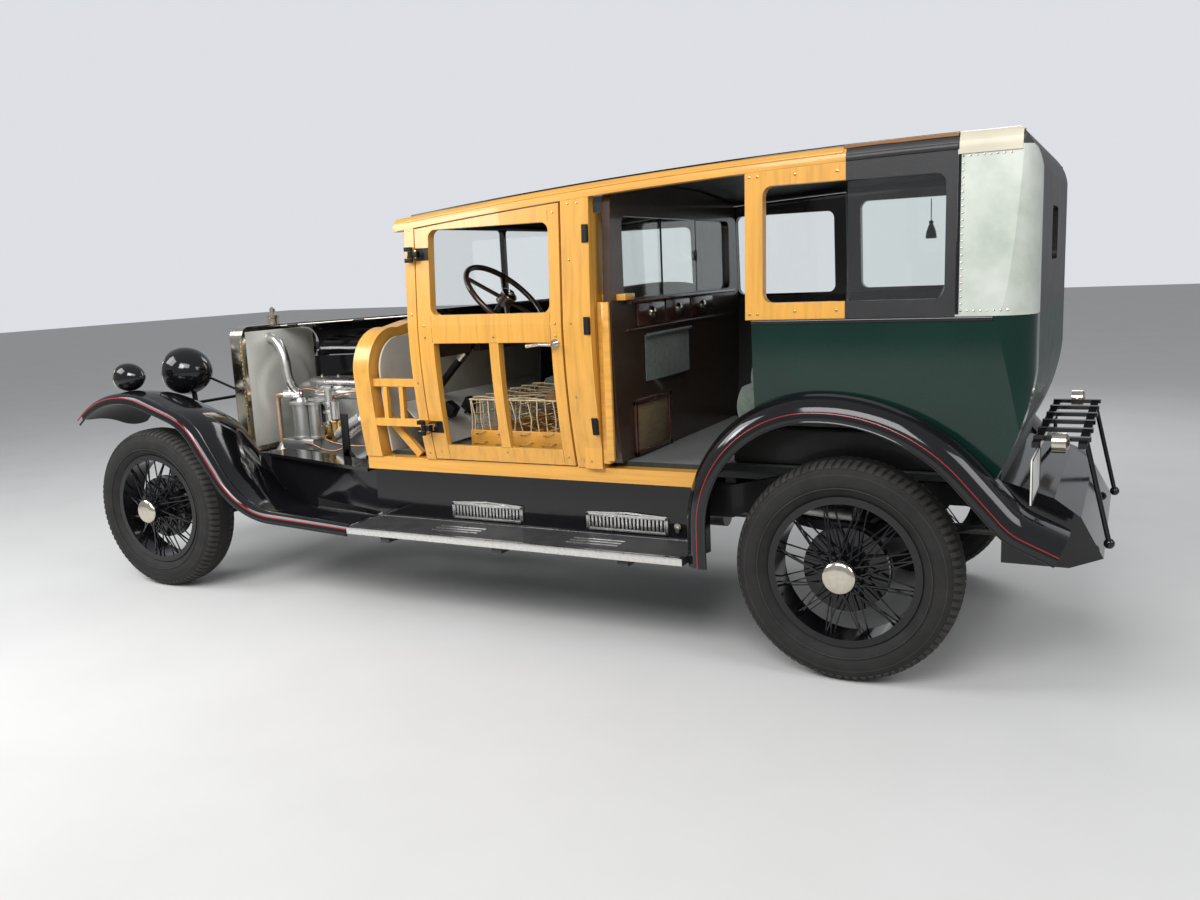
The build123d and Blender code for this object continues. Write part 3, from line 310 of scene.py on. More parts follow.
# The CAD nodes that each material covers, by the start of their names
NODE_MATERIALS = {start: material for material, starts in (
    (tyre_rubber, "tyre"),
    (chassis_enamel, "front_axle rear_axle knuckle tie_rod leaf_springs frame_rails cross_members"),
    (black_enamel, "wire_wheel cowl_skin bonnet_right bonnet_side windscreen front_wings rear_wings valances "
                   "front_lamps luggage_rack fuel_tank"),
    (nickel, "radiator_shell bonnet_rod rear_lamps"),
    (cast_metal, "engine_block gearbox"),
    (aluminium, "engine_head vents"),
    (steel, "exhaust"),
    (core_with_painted_shade, "radiator_core"),
    (ash_along_x, "sill_left roof_rail"),
    (ash_upright, "front_post centre_post rear_post door_front_left"),
    (ash_hoop, "cowl_frame"),
    (roof_cloth, "roof"),
    (black_cloth, "quarter_cover"),
    (green_enamel, "lower_quarter"),
    (pale_panel, "corner_panel"),
    (back_two_tone, "back_panel"),
    (body_two_tone, "right_side door_front_right door_rear_right"),
    (pale_sheet, "bulkhead"),
    (carpet, "floor"),
    (dark_wood, "partition dashboard steering_wheel"),
    (grey_cloth, "front_seat rear_seat"),
    (iron_black, "steering_column"),
    (mat_rubber, "running_boards"),
    (plate_white, "number_plate"),
) for start in starts.split()}


def dress_nodes():
    for name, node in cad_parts.items():
        best = max((start for start in NODE_MATERIALS if name.startswith(start)), key=len)
        for place in node.material_slots:
            place.material = NODE_MATERIALS[best]


# Mesh helpers. rod, tube and nut take points of the scene. bar, post, slab, plank, spot and smooth_run take
# places given from the rear axle.

def rod(bm, start, end, radius, sides=12, end_radius=None):
    """A round bar or taper between two points."""
    run = end - start
    turn = run.to_track_quat("Z", "Y").to_matrix().to_4x4()
    middle = Matrix.Translation((start + end) / 2) @ turn
    far = radius if end_radius is None else end_radius
    bmesh.ops.create_cone(
        bm, cap_ends=True, segments=sides, radius1=radius, radius2=far, depth=run.length, matrix=middle
    )


def bar(bm, start, end, radius, sides=16, end_radius=None):
    """A round bar between two places."""
    rod(bm, at(*start), at(*end), radius, sides, end_radius)


def bars(bm, *rows):
    for row in rows:
        bar(bm, *row)


def post(bm, x, y, z, radius, sides=16, end_radius=None):
    """An upright round bar. z is (low, high)."""
    bar(bm, (x, y, z[0]), (x, y, z[1]), radius, sides, end_radius)


def eased_box(bm, matrix, bevel):
    """A unit cube put through a matrix, with its edges eased."""
    made = bmesh.ops.create_cube(bm, size=1.0, matrix=matrix)
    if bevel:
        edges = {edge for vert in made["verts"] for edge in vert.link_edges}
        bmesh.ops.bevel(bm, geom=list(edges), offset=bevel, segments=2, affect="EDGES", profile=0.5)


def slab(bm, x, y, z, bevel=0.002):
    """A block from two values per axis. Those of y may come in either order."""
    low, high = at(x[0], min(y), z[0]), at(x[1], max(y), z[1])
    eased_box(bm, Matrix.Translation((low + high) / 2) @ Matrix.Diagonal((*(high - low), 1)), bevel)


def slabs(bm, bevel, *rows):
    for row in rows:
        slab(bm, *row, bevel)


def plank(bm, start, end, width, depth, bevel=0.002):
    """A rectangular bar between two places. width lies in the side view, depth across the car."""
    a, b = at(*start), at(*end)
    run = b - a
    ahead = run.normalized()
    across = Vector((0, 1, 0))
    turn = Matrix((ahead, across, ahead.cross(across))).transposed().to_4x4()
    size = Matrix.Diagonal((run.length, depth, width, 1))
    eased_box(bm, Matrix.Translation((a + b) / 2) @ turn @ size, bevel)


def spot(x, y, z, tilt=0.0):
    """A frame for a lathe. tilt turns its z forward, in degrees."""
    return Matrix.Translation(at(x, y, z)) @ Matrix.Rotation(math.radians(tilt), 4, "Y")


def lathe(bm, profile, place, steps=48):
    """A profile of (radius, height) turned about the place's z."""
    rings = []
    for radius, height in profile:
        angles = [2 * math.pi * i / steps for i in range(steps)] if radius else [0.0]
        rings.append([bm.verts.new(place @ Vector((radius * math.cos(a), radius * math.sin(a), height)))
                      for a in angles])
    for low, high in zip(rings, rings[1:]):
        for i in range(steps):
            j = (i + 1) % steps
            corners = [low[i % len(low)], low[j % len(low)], high[j % len(high)], high[i % len(high)]]
            unique = list(dict.fromkeys(corners))
            if len(unique) > 2:
                bm.faces.new(unique)


def skin(bm, rings, closed=False):
    """Quads between rings, and two end faces unless the last ring meets the first."""
    runs = list(zip(rings, rings[1:]))
    if closed:
        runs.append((rings[-1], rings[0]))
    for low, high in runs:
        for k in range(len(low)):
            m = (k + 1) % len(low)
            bm.faces.new((low[k], low[m], high[m], high[k]))
    if not closed:
        bm.faces.new(rings[0][::-1])
        bm.faces.new(rings[-1])


def quads(bm, low, high):
    """Faces between two rows of corners."""
    for corners in zip(low, low[1:], high[1:], high):
        bm.faces.new(corners)


def tube(bm, points, radius, sides=8, closed=False):
    """A round tube swept along points."""
    count = len(points)
    rings = []
    normal = None
    for i, point in enumerate(points):
        before = points[i - 1] if i or closed else points[0]
        after = points[(i + 1) % count] if i < count - 1 or closed else points[-1]
        ahead = (after - before).normalized()
        if normal is None:
            normal = ahead.orthogonal().normalized()
        normal = (normal - ahead * normal.dot(ahead)).normalized()
        across = ahead.cross(normal)
        rings.append([bm.verts.new(point + radius * (math.cos(a) * normal + math.sin(a) * across))
                      for a in (2 * math.pi * k / sides for k in range(sides))])
    skin(bm, rings, closed)


def smooth_run(places, per_span=6):
    """Points along a smooth curve through the given places."""
    points = [at(*q) for q in places]
    padded = [points[0] * 2 - points[1], *points, points[-1] * 2 - points[-2]]
    run = []
    for a, b, c, d in zip(padded, padded[1:], padded[2:], padded[3:]):
        for s in (i / per_span for i in range(per_span)):
            bend = (2 * a - 5 * b + 4 * c - d) * s * s + (3 * b - a - 3 * c + d) * s ** 3
            run.append(0.5 * (2 * b + (c - a) * s + bend))
    run.append(points[-1])
    return run


def nut(bm, place, normal, radius=0.009, height=0.007):
    """A hexagon nut on its washer."""
    washer = 0.0015
    rod(bm, place, place + normal * washer, radius * 1.35, 16)
    rod(bm, place + normal * washer, place + normal * (washer + height), radius, 6)
    rod(bm, place + normal * height, place + normal * (height + 0.005), radius * 0.5, 10)


def layered(bm, outline, steps):
    """A cover built of one outline at rising heights. The steps are (inset, z)."""
    centre = sum(x for x, _ in outline) / len(outline)
    half_x = max(abs(x - centre) for x, _ in outline)
    half_y = max(abs(y) for _, y in outline)
    rings = []
    for inset, z in steps:
        kx, ky = 1 - inset / half_x, 1 - inset / half_y
        rings.append([bm.verts.new(at(centre + (x - centre) * kx, y * ky, z)) for x, y in outline])
    skin(bm, rings)


def piece(name, bm, material, body="car", smooth=35):
    """Turns a bmesh into an object that rides on a body, with smooth faces up to an angle in degrees."""
    bmesh.ops.recalc_face_normals(bm, faces=bm.faces)
    mesh = bpy.data.meshes.new(name)
    bm.to_mesh(mesh)
    bm.free()
    mesh.materials.append(material)
    mesh.polygons.foreach_set("use_smooth", [True] * len(mesh.polygons))
    mesh.set_sharp_from_angle(angle=math.radians(smooth))
    made = bpy.data.objects.new(name, mesh)
    bpy.context.scene.collection.objects.link(made)
    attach(made, body)
    return made


# Floor and light

# Soft boxes: place from the rear axle, target, size across and up, watts
SOFTBOXES = [
    ((0.4, 6.5, 5.5), (1.4, 0, 0.8), 5.0, 3.0, 390),
    ((6.5, 3.5, 4.5), (2.2, 0, 0.8), 3.5, 2.5, 200),
    ((-5.0, 2.0, 4.2), (0.6, 0, 0.9), 3.0, 2.5, 120),
    ((1.5, -5.5, 4.8), (1.4, 0, 1.0), 4.0, 2.5, 130),
    ((3.1, 2.6, 2.3), (2.9, 0, 0.85), 0.8, 0.8, 26),
]
LIGHT_STRENGTH, BACKDROP_STRENGTH = 0.42, 0.78


def make_stage():
    floor_mesh = bpy.data.meshes.new("studio_floor")
    bm = bmesh.new()
    bmesh.ops.create_grid(bm, x_segments=1, y_segments=1, size=40)
    bm.to_mesh(floor_mesh)
    bm.free()
    floor = bpy.data.objects.new("studio_floor", floor_mesh)
    bpy.context.scene.collection.objects.link(floor)
    s = Shader("studio_floor", roughness=0.6, specular=0.2)
    s.colour(s.noise(2), [(0.2, (0.60, 0.60, 0.59)), (0.8, (0.64, 0.64, 0.63))])
    floor_mesh.materials.append(s.material)

    world = bpy.data.worlds.new("studio")
    bpy.context.scene.world = world
    world.use_nodes = True
    tree = world.node_tree
    # A bright backdrop for what the eye sees directly or through glass, and a softer one for light
    rays = add_node(tree, "ShaderNodeLightPath", {}).outputs
    seen = add_node(tree, "ShaderNodeMath", {0: rays["Is Camera Ray"], 1: rays["Is Transmission Ray"]},
                    operation="MAXIMUM").outputs["Value"]
    strength = add_node(tree, "ShaderNodeMapRange",
                        {"Value": seen, "To Min": LIGHT_STRENGTH, "To Max": BACKDROP_STRENGTH})
    feed(tree, tree.nodes["Background"],
         {"Color": (0.93, 0.95, 1.0, 1.0), "Strength": strength.outputs["Result"]})

    for i, (place, target, across, up, watts) in enumerate(SOFTBOXES):
        data = bpy.data.lights.new(f"softbox_{i}", "AREA")
        data.shape = "RECTANGLE"
        data.size, data.size_y, data.energy = across, up, watts
        lamp = bpy.data.objects.new(f"softbox_{i}", data)
        aim = at(*target) - at(*place)
        lamp.matrix_world = Matrix.Translation(at(*place)) @ aim.to_track_quat("-Z", "Y").to_matrix().to_4x4()
        bpy.context.scene.collection.objects.link(lamp)


# Wheels

WHEELS = [("front_left", WHEELBASE, 1), ("front_right", WHEELBASE, -1),
          ("rear_left", 0.0, 1), ("rear_right", 0.0, -1)]
HUB_CAP = [(0.0, 0.1478), (0.022, 0.1474), (0.040, 0.1458), (0.052, 0.1430), (0.0600, 0.1380),
           (0.0635, 0.1300), (0.0635, 0.1215), (0.0600, 0.1185), (0.0540, 0.1170), (0.0540, 0.1120)]
WALL_RINGS = [(0.322, 0.0905), (0.372, 0.0885)]
SHOULDER_BLOCKS = 84
# Places across the tread with the blocks' rise there, and the blocks' feet and tops on the side wall
TREAD_STEPS = [(0.034, 0.0022), (0.050, 0.0030), (0.064, 0.0032), (0.0735, 0.0030)]
BLOCK_FOOT, BLOCK_TOP = (0.393, 0.0815), (0.395, 0.0845)
CROWN_ARC = 0.179


def crown_radius(z, raise_by=0.0):
    """The tyre's radius across its tread."""
    return TYRE_RADIUS - (CROWN_ARC - math.sqrt(CROWN_ARC * CROWN_ARC - z * z)) + raise_by


def tread_blocks(bm, place):
    """Slanted shoulder blocks on both edges of the tread."""
    lower = [(crown_radius(z), z) for z, _ in TREAD_STEPS] + [BLOCK_FOOT]
    upper = [(crown_radius(z, up), z) for z, up in TREAD_STEPS] + [BLOCK_TOP]
    pitch = 2 * math.pi / SHOULDER_BLOCKS
    slant = 0.35 * pitch

    def row(line, edge, side):
        angles = [edge + slant * k / len(line) for k in range(len(line))]
        return [bm.verts.new(place @ Vector((radius * math.cos(a), radius * math.sin(a), side * z)))
                for a, (radius, z) in zip(angles, line)]

    for side in (-1, 1):
        for i in range(SHOULDER_BLOCKS):
            start = i * pitch + (0.5 * pitch if side < 0 else 0)
            (low_a, top_a), (low_b, top_b) = [[row(line, edge, side) for line in (lower, upper)]
                                              for edge in (start, start + 0.62 * pitch)]
            for k in range(len(lower) - 1):
                bm.faces.new((top_a[k], top_b[k], top_b[k + 1], top_a[k + 1]))
                bm.faces.new((low_a[k], top_a[k], top_a[k + 1], low_a[k + 1]))
                bm.faces.new((top_b[k], low_b[k], low_b[k + 1], top_b[k + 1]))
            bm.faces.new((low_a[0], low_b[0], top_b[0], top_a[0]))
            bm.faces.new((low_a[-1], top_a[-1], top_b[-1], low_b[-1]))


def dress_wheels():
    for corner, x, out in WHEELS:
        body = f"wheel_{corner}"
        turn = Matrix.Rotation(math.radians(-90 * out), 4, "X")
        place = Matrix.Translation(at(x, out * WHEEL_Y, AXLE_Z)) @ turn
        cap, tread = bmesh.new(), bmesh.new()
        lathe(cap, HUB_CAP, place, 56)
        piece(f"hub_cap_{corner}", cap, nickel, body)
        tread_blocks(tread, place)
        for radius, height in WALL_RINGS:
            for side in (-1, 1):
                ring = [place @ Vector((radius * math.cos(a), radius * math.sin(a), side * height))
                        for a in (2 * math.pi * i / 96 for i in range(96))]
                tube(tread, ring, 0.0022, 6, closed=True)
        piece(f"tread_{corner}", tread, tread_rubber, body)


# Wings: the lips' runs and bend radii as in the part's source, in metres from the rear axle
REAR_LIP = [(0.510, 0.405), (0.510, 0.988), (-0.209, 0.988), (-0.556, 0.600), (-0.715, 0.530)]
REAR_BENDS = [0.425, 0.620, 0.250]
FRONT_LIP = [(2.285, 0.398), (2.990, 0.432), (3.302, 0.871), (3.868, 1.056), (4.115, 0.806)]
FRONT_BENDS = [0.470, 0.300, 0.500]
# Name, run, bends, side that faces away from the wheel, the stripe's rise and how far in it lies, and how
# many points are left off at the tip
WINGS = [("front", FRONT_LIP, FRONT_BENDS, 1, 0.030, 0.0050, 3),
         ("rear", REAR_LIP, REAR_BENDS, -1, 0.034, 0.0030, 0)]
APRON_START, APRON_END = 2.30, 3.13


def rounded_run(corners, bends, step=0.02):
    """Points along straight runs whose corners are rounded by the bend radii."""
    points = [Vector(corners[0])]
    for before, corner, after, radius in zip(corners, corners[1:], corners[2:], bends):
        before, corner, after = Vector(before), Vector(corner), Vector(after)
        arriving, leaving = (corner - before).normalized(), (after - corner).normalized()
        turn = arriving.angle_signed(leaving)
        start = corner - arriving * radius * math.tan(abs(turn) / 2)
        hand = -1 if turn > 0 else 1
        centre = start + Vector((-arriving.y, arriving.x)) * hand * radius
        spoke = start - centre
        for angle in between(0, hand * abs(turn), max(2, int(abs(turn) * radius / step))):
            points.append(centre + Vector((
                spoke.x * math.cos(angle) - spoke.y * math.sin(angle),
                spoke.x * math.sin(angle) + spoke.y * math.cos(angle),
            )))
    points.append(Vector(corners[-1]))
    return points


def offset_run(points, outward):
    """A run moved sideways in its own plane."""
    moved = []
    for i, point in enumerate(points):
        ahead = (points[min(i + 1, len(points) - 1)] - points[max(i - 1, 0)]).normalized()
        moved.append(point + Vector((-ahead.y, ahead.x)) * outward)
    return moved


def dress_wings():
    """Red stripe and black bead along each wing's lip, and sheets from front wings to valances."""
    for name, lip, bends, outward, up, deep, left_off in WINGS:
        run = rounded_run(lip, bends)
        stripe, bead = bmesh.new(), bmesh.new()
        for out in (-1, 1):
            for bm, rise, inward, radius in ((stripe, up, deep, 0.0030), (bead, 0.002, 0.0035, 0.0055)):
                line = offset_run(run, outward * rise)[:len(run) - left_off]
                tube(bm, [at(p.x, out * (WING_OUTER - inward), p.y) for p in line], radius)
        piece(f"{name}_wing_stripe", stripe, red_line)
        piece(f"{name}_wing_bead", bead, black_enamel)
    aprons = bmesh.new()
    run = [p for p in rounded_run(FRONT_LIP, FRONT_BENDS) if APRON_START < p.x < APRON_END]
    for out in (-1, 1):
        away = Vector((0, out, 0))
        patch(aprons, [[(at(p.x, out * (0.597 - 0.1744 * (p.x - APRON_START)), p.y + rise), away)
                        for rise in (-0.02, 0.03, 0.08)] for p in run], 0.002)
    piece("wing_aprons", aprons, black_enamel)


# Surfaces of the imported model, found by rays, so that trim lies on what carries it

class Surface:
    def __init__(self, *names):
        meshes = [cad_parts[name].data for name in names]
        self.trees = [BVHTree.FromPolygons([v.co.copy() for v in mesh.vertices],
                                           [tuple(p.vertices) for p in mesh.polygons]) for mesh in meshes]

    def hit(self, start, ahead):
        """The nearest hit along a ray, as (place, outward normal), or None."""
        best = None
        for tree in self.trees:
            place, normal, _, distance = tree.ray_cast(start, ahead)
            if place is not None and (best is None or distance < best[0]):
                best = (distance, place, normal if normal.dot(ahead) < 0 else -normal)
        return best[1:] if best else None


def side_hit(surface, x, z, out=1):
    """A side wall's outer face at a place given from the rear axle. out is 1 on the left."""
    return surface.hit(at(x, out * 1.2, z), Vector((0, -out, 0)))


def inner_hit(surface, x, z, out):
    """A side wall's inner face."""
    return surface.hit(at(x, out * 0.3, z), Vector((0, out, 0)))


def side_run(surface, start, end, count, out=1):
    """Hits on a side wall's outer face along a line between two (x, z)."""
    return [side_hit(surface, x, z, out) for x, z in zip(between(start[0], end[0], count),
                                                         between(start[1], end[1], count))]


def strip(bm, hits, width, height, along=FORWARD):
    """A half round strip on a run of surface hits, without the rays that missed."""
    profile = [(-0.5, 0.0), (-0.42, 0.6), (-0.2, 0.95), (0.2, 0.95), (0.42, 0.6), (0.5, 0.0)]
    rings = []
    for place, normal in filter(None, hits):
        across = normal.cross(along).normalized()
        rings.append([bm.verts.new(place + across * width * u + normal * height * v) for u, v in profile])
    if rings:
        skin(bm, rings)


def patch(bm, hits, thickness):
    """A thin sheet laid on a grid of surface hits, or nothing where a ray missed."""
    if any(found is None for column in hits for found in column):
        return
    grid = [[(bm.verts.new(place + normal * 0.0003), bm.verts.new(place + normal * thickness))
             for place, normal in column] for column in hits]
    last_i, last_k = len(grid) - 1, len(grid[0]) - 1
    for layer in (0, 1):
        for i in range(last_i):
            for k in range(last_k):
                bm.faces.new([grid[a][b][layer] for a, b in ((i, k), (i + 1, k), (i + 1, k + 1), (i, k + 1))])
    border = [grid[i][0] for i in range(last_i + 1)] + [grid[-1][k] for k in range(1, last_k + 1)]
    border += [grid[i][-1] for i in range(last_i - 1, -1, -1)]
    border += [grid[0][k] for k in range(last_k - 1, 0, -1)]
    for (a, b), (c, d) in zip(border, border[1:] + border[:1]):
        bm.faces.new((a, c, d, b))


def panel_on(bm, surface, finder, x_span, z_span, out, thickness, steps=(10, 10)):
    """A thin panel that follows a wall between two x and two z values."""
    patch(bm, [[finder(surface, x, z, out) for z in between(*z_span, steps[1])]
               for x in between(*x_span, steps[0])], thickness)


def stud(bm, place, normal, radius, height, sides=8):
    """A small domed head on a surface."""
    turn = Matrix.Translation(place) @ normal.to_track_quat("Z", "Y").to_matrix().to_4x4()
    dome = [(radius, 0.0), (radius * 0.92, height * 0.5), (radius * 0.5, height * 0.9), (0.0, height)]
    lathe(bm, dome, turn, sides)


def screw_heads(bm, surface, spots):
    """Screw heads on a left wall at the given (x, z)."""
    for place, normal in filter(None, (side_hit(surface, x, z) for x, z in spots)):
        stud(bm, place + normal * 0.0002, normal, 0.0055, 0.0014, 12)


# Soft parts

SEAT_BASE = 0.7715
SPRING_HEIGHT, SPRING_RADIUS, SPRING_TURNS, SPRING_WIRE = 0.205, 0.046, 4.5, 0.0019
CORD_Z = 1.010


def cushion(name, low, high, crown, pleats, tilt=0.0, material=grey_cloth):
    """A stuffed pad between two corners: crowned on top, pinched at its corners, sewn in channels."""
    low, high = at(*low), at(*high)
    size, middle = high - low, (low + high) / 2
    bm = bmesh.new()
    bmesh.ops.create_cube(bm, size=2.0)
    bmesh.ops.subdivide_edges(bm, edges=bm.edges[:], cuts=15, use_grid_fill=True)
    for vert in bm.verts:
        u, v, w = vert.co
        waist = 1 - 0.05 * w * w
        edge = max(abs(u), abs(v)) ** 8
        lift = crown * (1 - u * u) * (1 - v * v) if w > 0 else 0.0
        groove = 0.16 * abs(math.sin(v * pleats * math.pi / 2)) ** 0.55 * (1 - edge) if w > 0.98 else 0.0
        height = w * (1 - 0.22 * edge * (1 - 0.4 * u * u * v * v)) + (0.16 * (1 - edge) - groove) * 0.5 + lift
        wobble = 0.012 * noise.noise(Vector((u * 2.2, v * 2.2, w)) + middle)
        vert.co = Vector((u * (1 - 0.035 * v * v) * waist * size.x / 2,
                          v * (1 - 0.035 * u * u) * waist * size.y / 2, (height + wobble) * size.z / 2))
    turn = Matrix.Rotation(tilt, 4, "Y")
    bmesh.ops.transform(bm, matrix=Matrix.Translation(middle) @ turn, verts=bm.verts)
    made = piece(name, bm, material, smooth=80)
    smooth = made.modifiers.new("smooth", "SUBSURF")
    smooth.levels = smooth.render_levels = 1


def coil(bm, foot):
    """A seat spring: a coil that is wider at both ends."""
    points = []
    for t in between(0, 1, int(SPRING_TURNS * 14)):
        angle = 2 * math.pi * SPRING_TURNS * t
        reach = SPRING_RADIUS * (0.72 + 0.28 * abs(2 * t - 1) ** 1.5)
        points.append(foot + Vector((reach * math.cos(angle), reach * math.sin(angle), SPRING_HEIGHT * t)))
    tube(bm, points, SPRING_WIRE, 5)


def dress_front_seat():
    """The driver's seat is cut open on the left: springs on a slatted base, cords and hair stuffing."""
    base, springs, cords = bmesh.new(), bmesh.new(), bmesh.new()
    slab(base, (1.02, 1.735), (-0.60, 0.60), (SEAT_BASE, 0.800), 0.004)
    slabs(base, 0.003,
          *[((x - 0.012, x + 0.012), (-0.605, 0.605), (0.800, 0.862)) for x in (1.03, 1.37, 1.71)],
          *[((1.02, 1.735), (y, y + 0.012), (0.800, 0.872)) for y in (-0.60, 0.592)])
    seat_base = piece("front_seat_base", base, ash_along_x)
    rows_x = [1.09 + 0.118 * i for i in range(6)]
    rows_y = [0.055 + 0.105 * i for i in range(6)]
    for x in rows_x:
        for y in rows_y:
            coil(springs, at(x, y, 0.803))
    for x in rows_x:
        tube(cords, [at(x + 0.01 * math.sin(9 * y), y, CORD_Z + 0.004 * math.sin(31 * y))
                     for y in between(0.0, 0.62, 30)], 0.0028, 6)
    for y in rows_y:
        tube(cords, [at(x, y + 0.008 * math.sin(14 * x), CORD_Z + 0.004 + 0.004 * math.sin(27 * x))
                     for x in between(1.03, 1.73, 34)], 0.0028, 6)
    for x in (1.03, 1.725):
        tube(cords, [at(x, y, CORD_Z) for y in between(0.02, 0.61, 12)], 0.004, 6)
    for y in (0.02, 0.612):
        tube(cords, [at(x, y, CORD_Z) for x in between(1.03, 1.725, 12)], 0.004, 6)
    # Upright ties down to the base, each leaning a little
    for i in range(17):
        x, lean = 1.04 + 0.042 * i, 0.012 * math.sin(2.7 * i)
        tie = [at(x, 0.600, 0.868), at(x + lean, 0.606, 0.930), at(x - lean * 0.5, 0.612, CORD_Z)]
        tube(cords, tie, 0.0030, 6)
    for i in range(13):
        y, lean = 0.04 + 0.047 * i, 0.012 * math.sin(3.1 * i)
        for x in (1.030, 1.724):
            tube(cords, [at(x, y, 0.868), at(x, y + lean, 0.940), at(x, y - lean * 0.5, CORD_Z)], 0.0030, 6)
    piece("front_seat_springs", springs, steel_wire, smooth=80)
    piece("front_seat_cords", cords, cream_cord, smooth=80)
    cushion("front_seat_stuffing", (1.03, 0.02, 0.985), (1.36, 0.60, 1.040), 0.3, 1, material=hair)
    cushion("front_seat_cushion", (1.03, -0.61, 0.872), (1.74, -0.01, 1.045), 0.12, 7)
    cushion("front_seat_back", (1.015, -0.615, 1.0), (1.135, 0.615, 1.445), 0.1, 0, 0.04)
    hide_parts("front_seat")


def dress_rear_seat():
    """A broad cushion, a pleated back and two arms on a dark base."""
    base, back = bmesh.new(), bmesh.new()
    slab(base, (-0.44, 0.49), (-0.585, 0.585), (SEAT_BASE, 0.915), 0.01)
    seat_base = piece("rear_seat_base", base, dark_leather)
    cushion("rear_seat_cushion", (-0.12, -0.58, 0.900), (0.50, 0.58, 1.085), 0.10, 9)
    front, rear = [], []
    for t in between(0, 1, 24):
        row = []
        for v in between(-1, 1, 60):
            pleat = 0.016 * abs(math.sin(9 * math.pi * (v + 1) / 2)) ** 0.6
            swell = 0.05 * math.sin(math.pi * t) ** 0.6 * (1 - v ** 8)
            x = -0.19 - 0.20 * t + swell + pleat * (1 - v ** 10)
            row.append(back.verts.new(at(x, 0.575 * v, 1.02 + 0.57 * t)))
        front.append(row)
        rear.append([back.verts.new(at(-0.45 - 0.03 * t, vert.co.y, vert.co.z)) for vert in row])
    for k in range(24):
        quads(back, front[k], front[k + 1])
        quads(back, rear[k + 1], rear[k])
    quads(back, [row[0] for row in front], [row[0] for row in rear])
    quads(back, [row[-1] for row in rear], [row[-1] for row in front])
    quads(back, rear[0], front[0])
    quads(back, front[-1], rear[-1])
    piece("rear_seat_back", back, grey_cloth, smooth=80)
    for side, y_low, y_high in (("left", 0.475, 0.585), ("right", -0.585, -0.475)):
        cushion(f"rear_seat_arm_{side}", (-0.12, y_low, 1.05), (0.42, y_high, 1.18), 0.15, 0)
    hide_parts("rear_seat")


# Body trim

def roof_edge(x):
    """Height of the roof's curved edge."""
    return 1.951 - (x + 0.63) ** 2 / (2 * 23.95)


def dress_roof():
    """Black mouldings along the roof's edges."""
    roof = Surface("roof", "roof_rail", "quarter_cover", "corner_panel", "back_panel", "right_side")
    for side, out, x_low, x_high in (("left", 1, -0.38, -0.012), ("right", -1, -0.60, 1.885)):
        bm = bmesh.new()
        count = max(4, int((x_high - x_low) / 0.05))
        hits = [side_hit(roof, x, roof_edge(x) - 0.045, out) for x in between(x_low, x_high, count)]
        strip(bm, hits, 0.022, 0.006)
        piece(f"roof_moulding_{side}", bm, black_cloth)


def dress_corner_panel():
    """Rows of tacks round the primed corner panel, and the dark bands beside it."""
    wall = Surface("corner_panel", "quarter_cover", "lower_quarter", "back_panel")
    tacks, bands = bmesh.new(), bmesh.new()
    edge_x, edge_z = (-0.545, -0.398), (1.368, 1.872)
    places = [(edge_x[1], z) for z in between(*edge_z, 22)]
    places += [(x, z) for z in edge_z for x in between(*edge_x, 7)]
    for found in filter(None, (side_hit(wall, x, z) for x, z in places)):
        stud(tacks, *found, 0.0042, 0.0026)
    piece("corner_panel_tacks", tacks, nickel)
    strip(bands, side_run(wall, (-0.386, 1.358), (-0.386, 1.878), 12), 0.012, 0.005, UP)
    strip(bands, side_run(wall, (-0.50, 1.342), (0.334, 1.342), 24), 0.016, 0.007)
    piece("quarter_bands", bands, black_enamel)


def lever_handle(name, wall, x, out, body):
    """A coach door lever on its rose, pointing forward."""
    bm = bmesh.new()
    place, normal = side_hit(wall, x + 0.02, 1.27, out)
    rod(bm, place, place + normal * 0.006, 0.019, 24)
    rod(bm, place, place + normal * 0.036, 0.009, 14)
    knee = place + normal * 0.034
    bend = knee + FORWARD * 0.060
    rod(bm, knee, bend, 0.0085, 12, 0.0065)
    rod(bm, bend, knee + Vector((0.118, 0, -0.006)), 0.0065, 12, 0.0085)
    piece(name, bm, nickel, body)


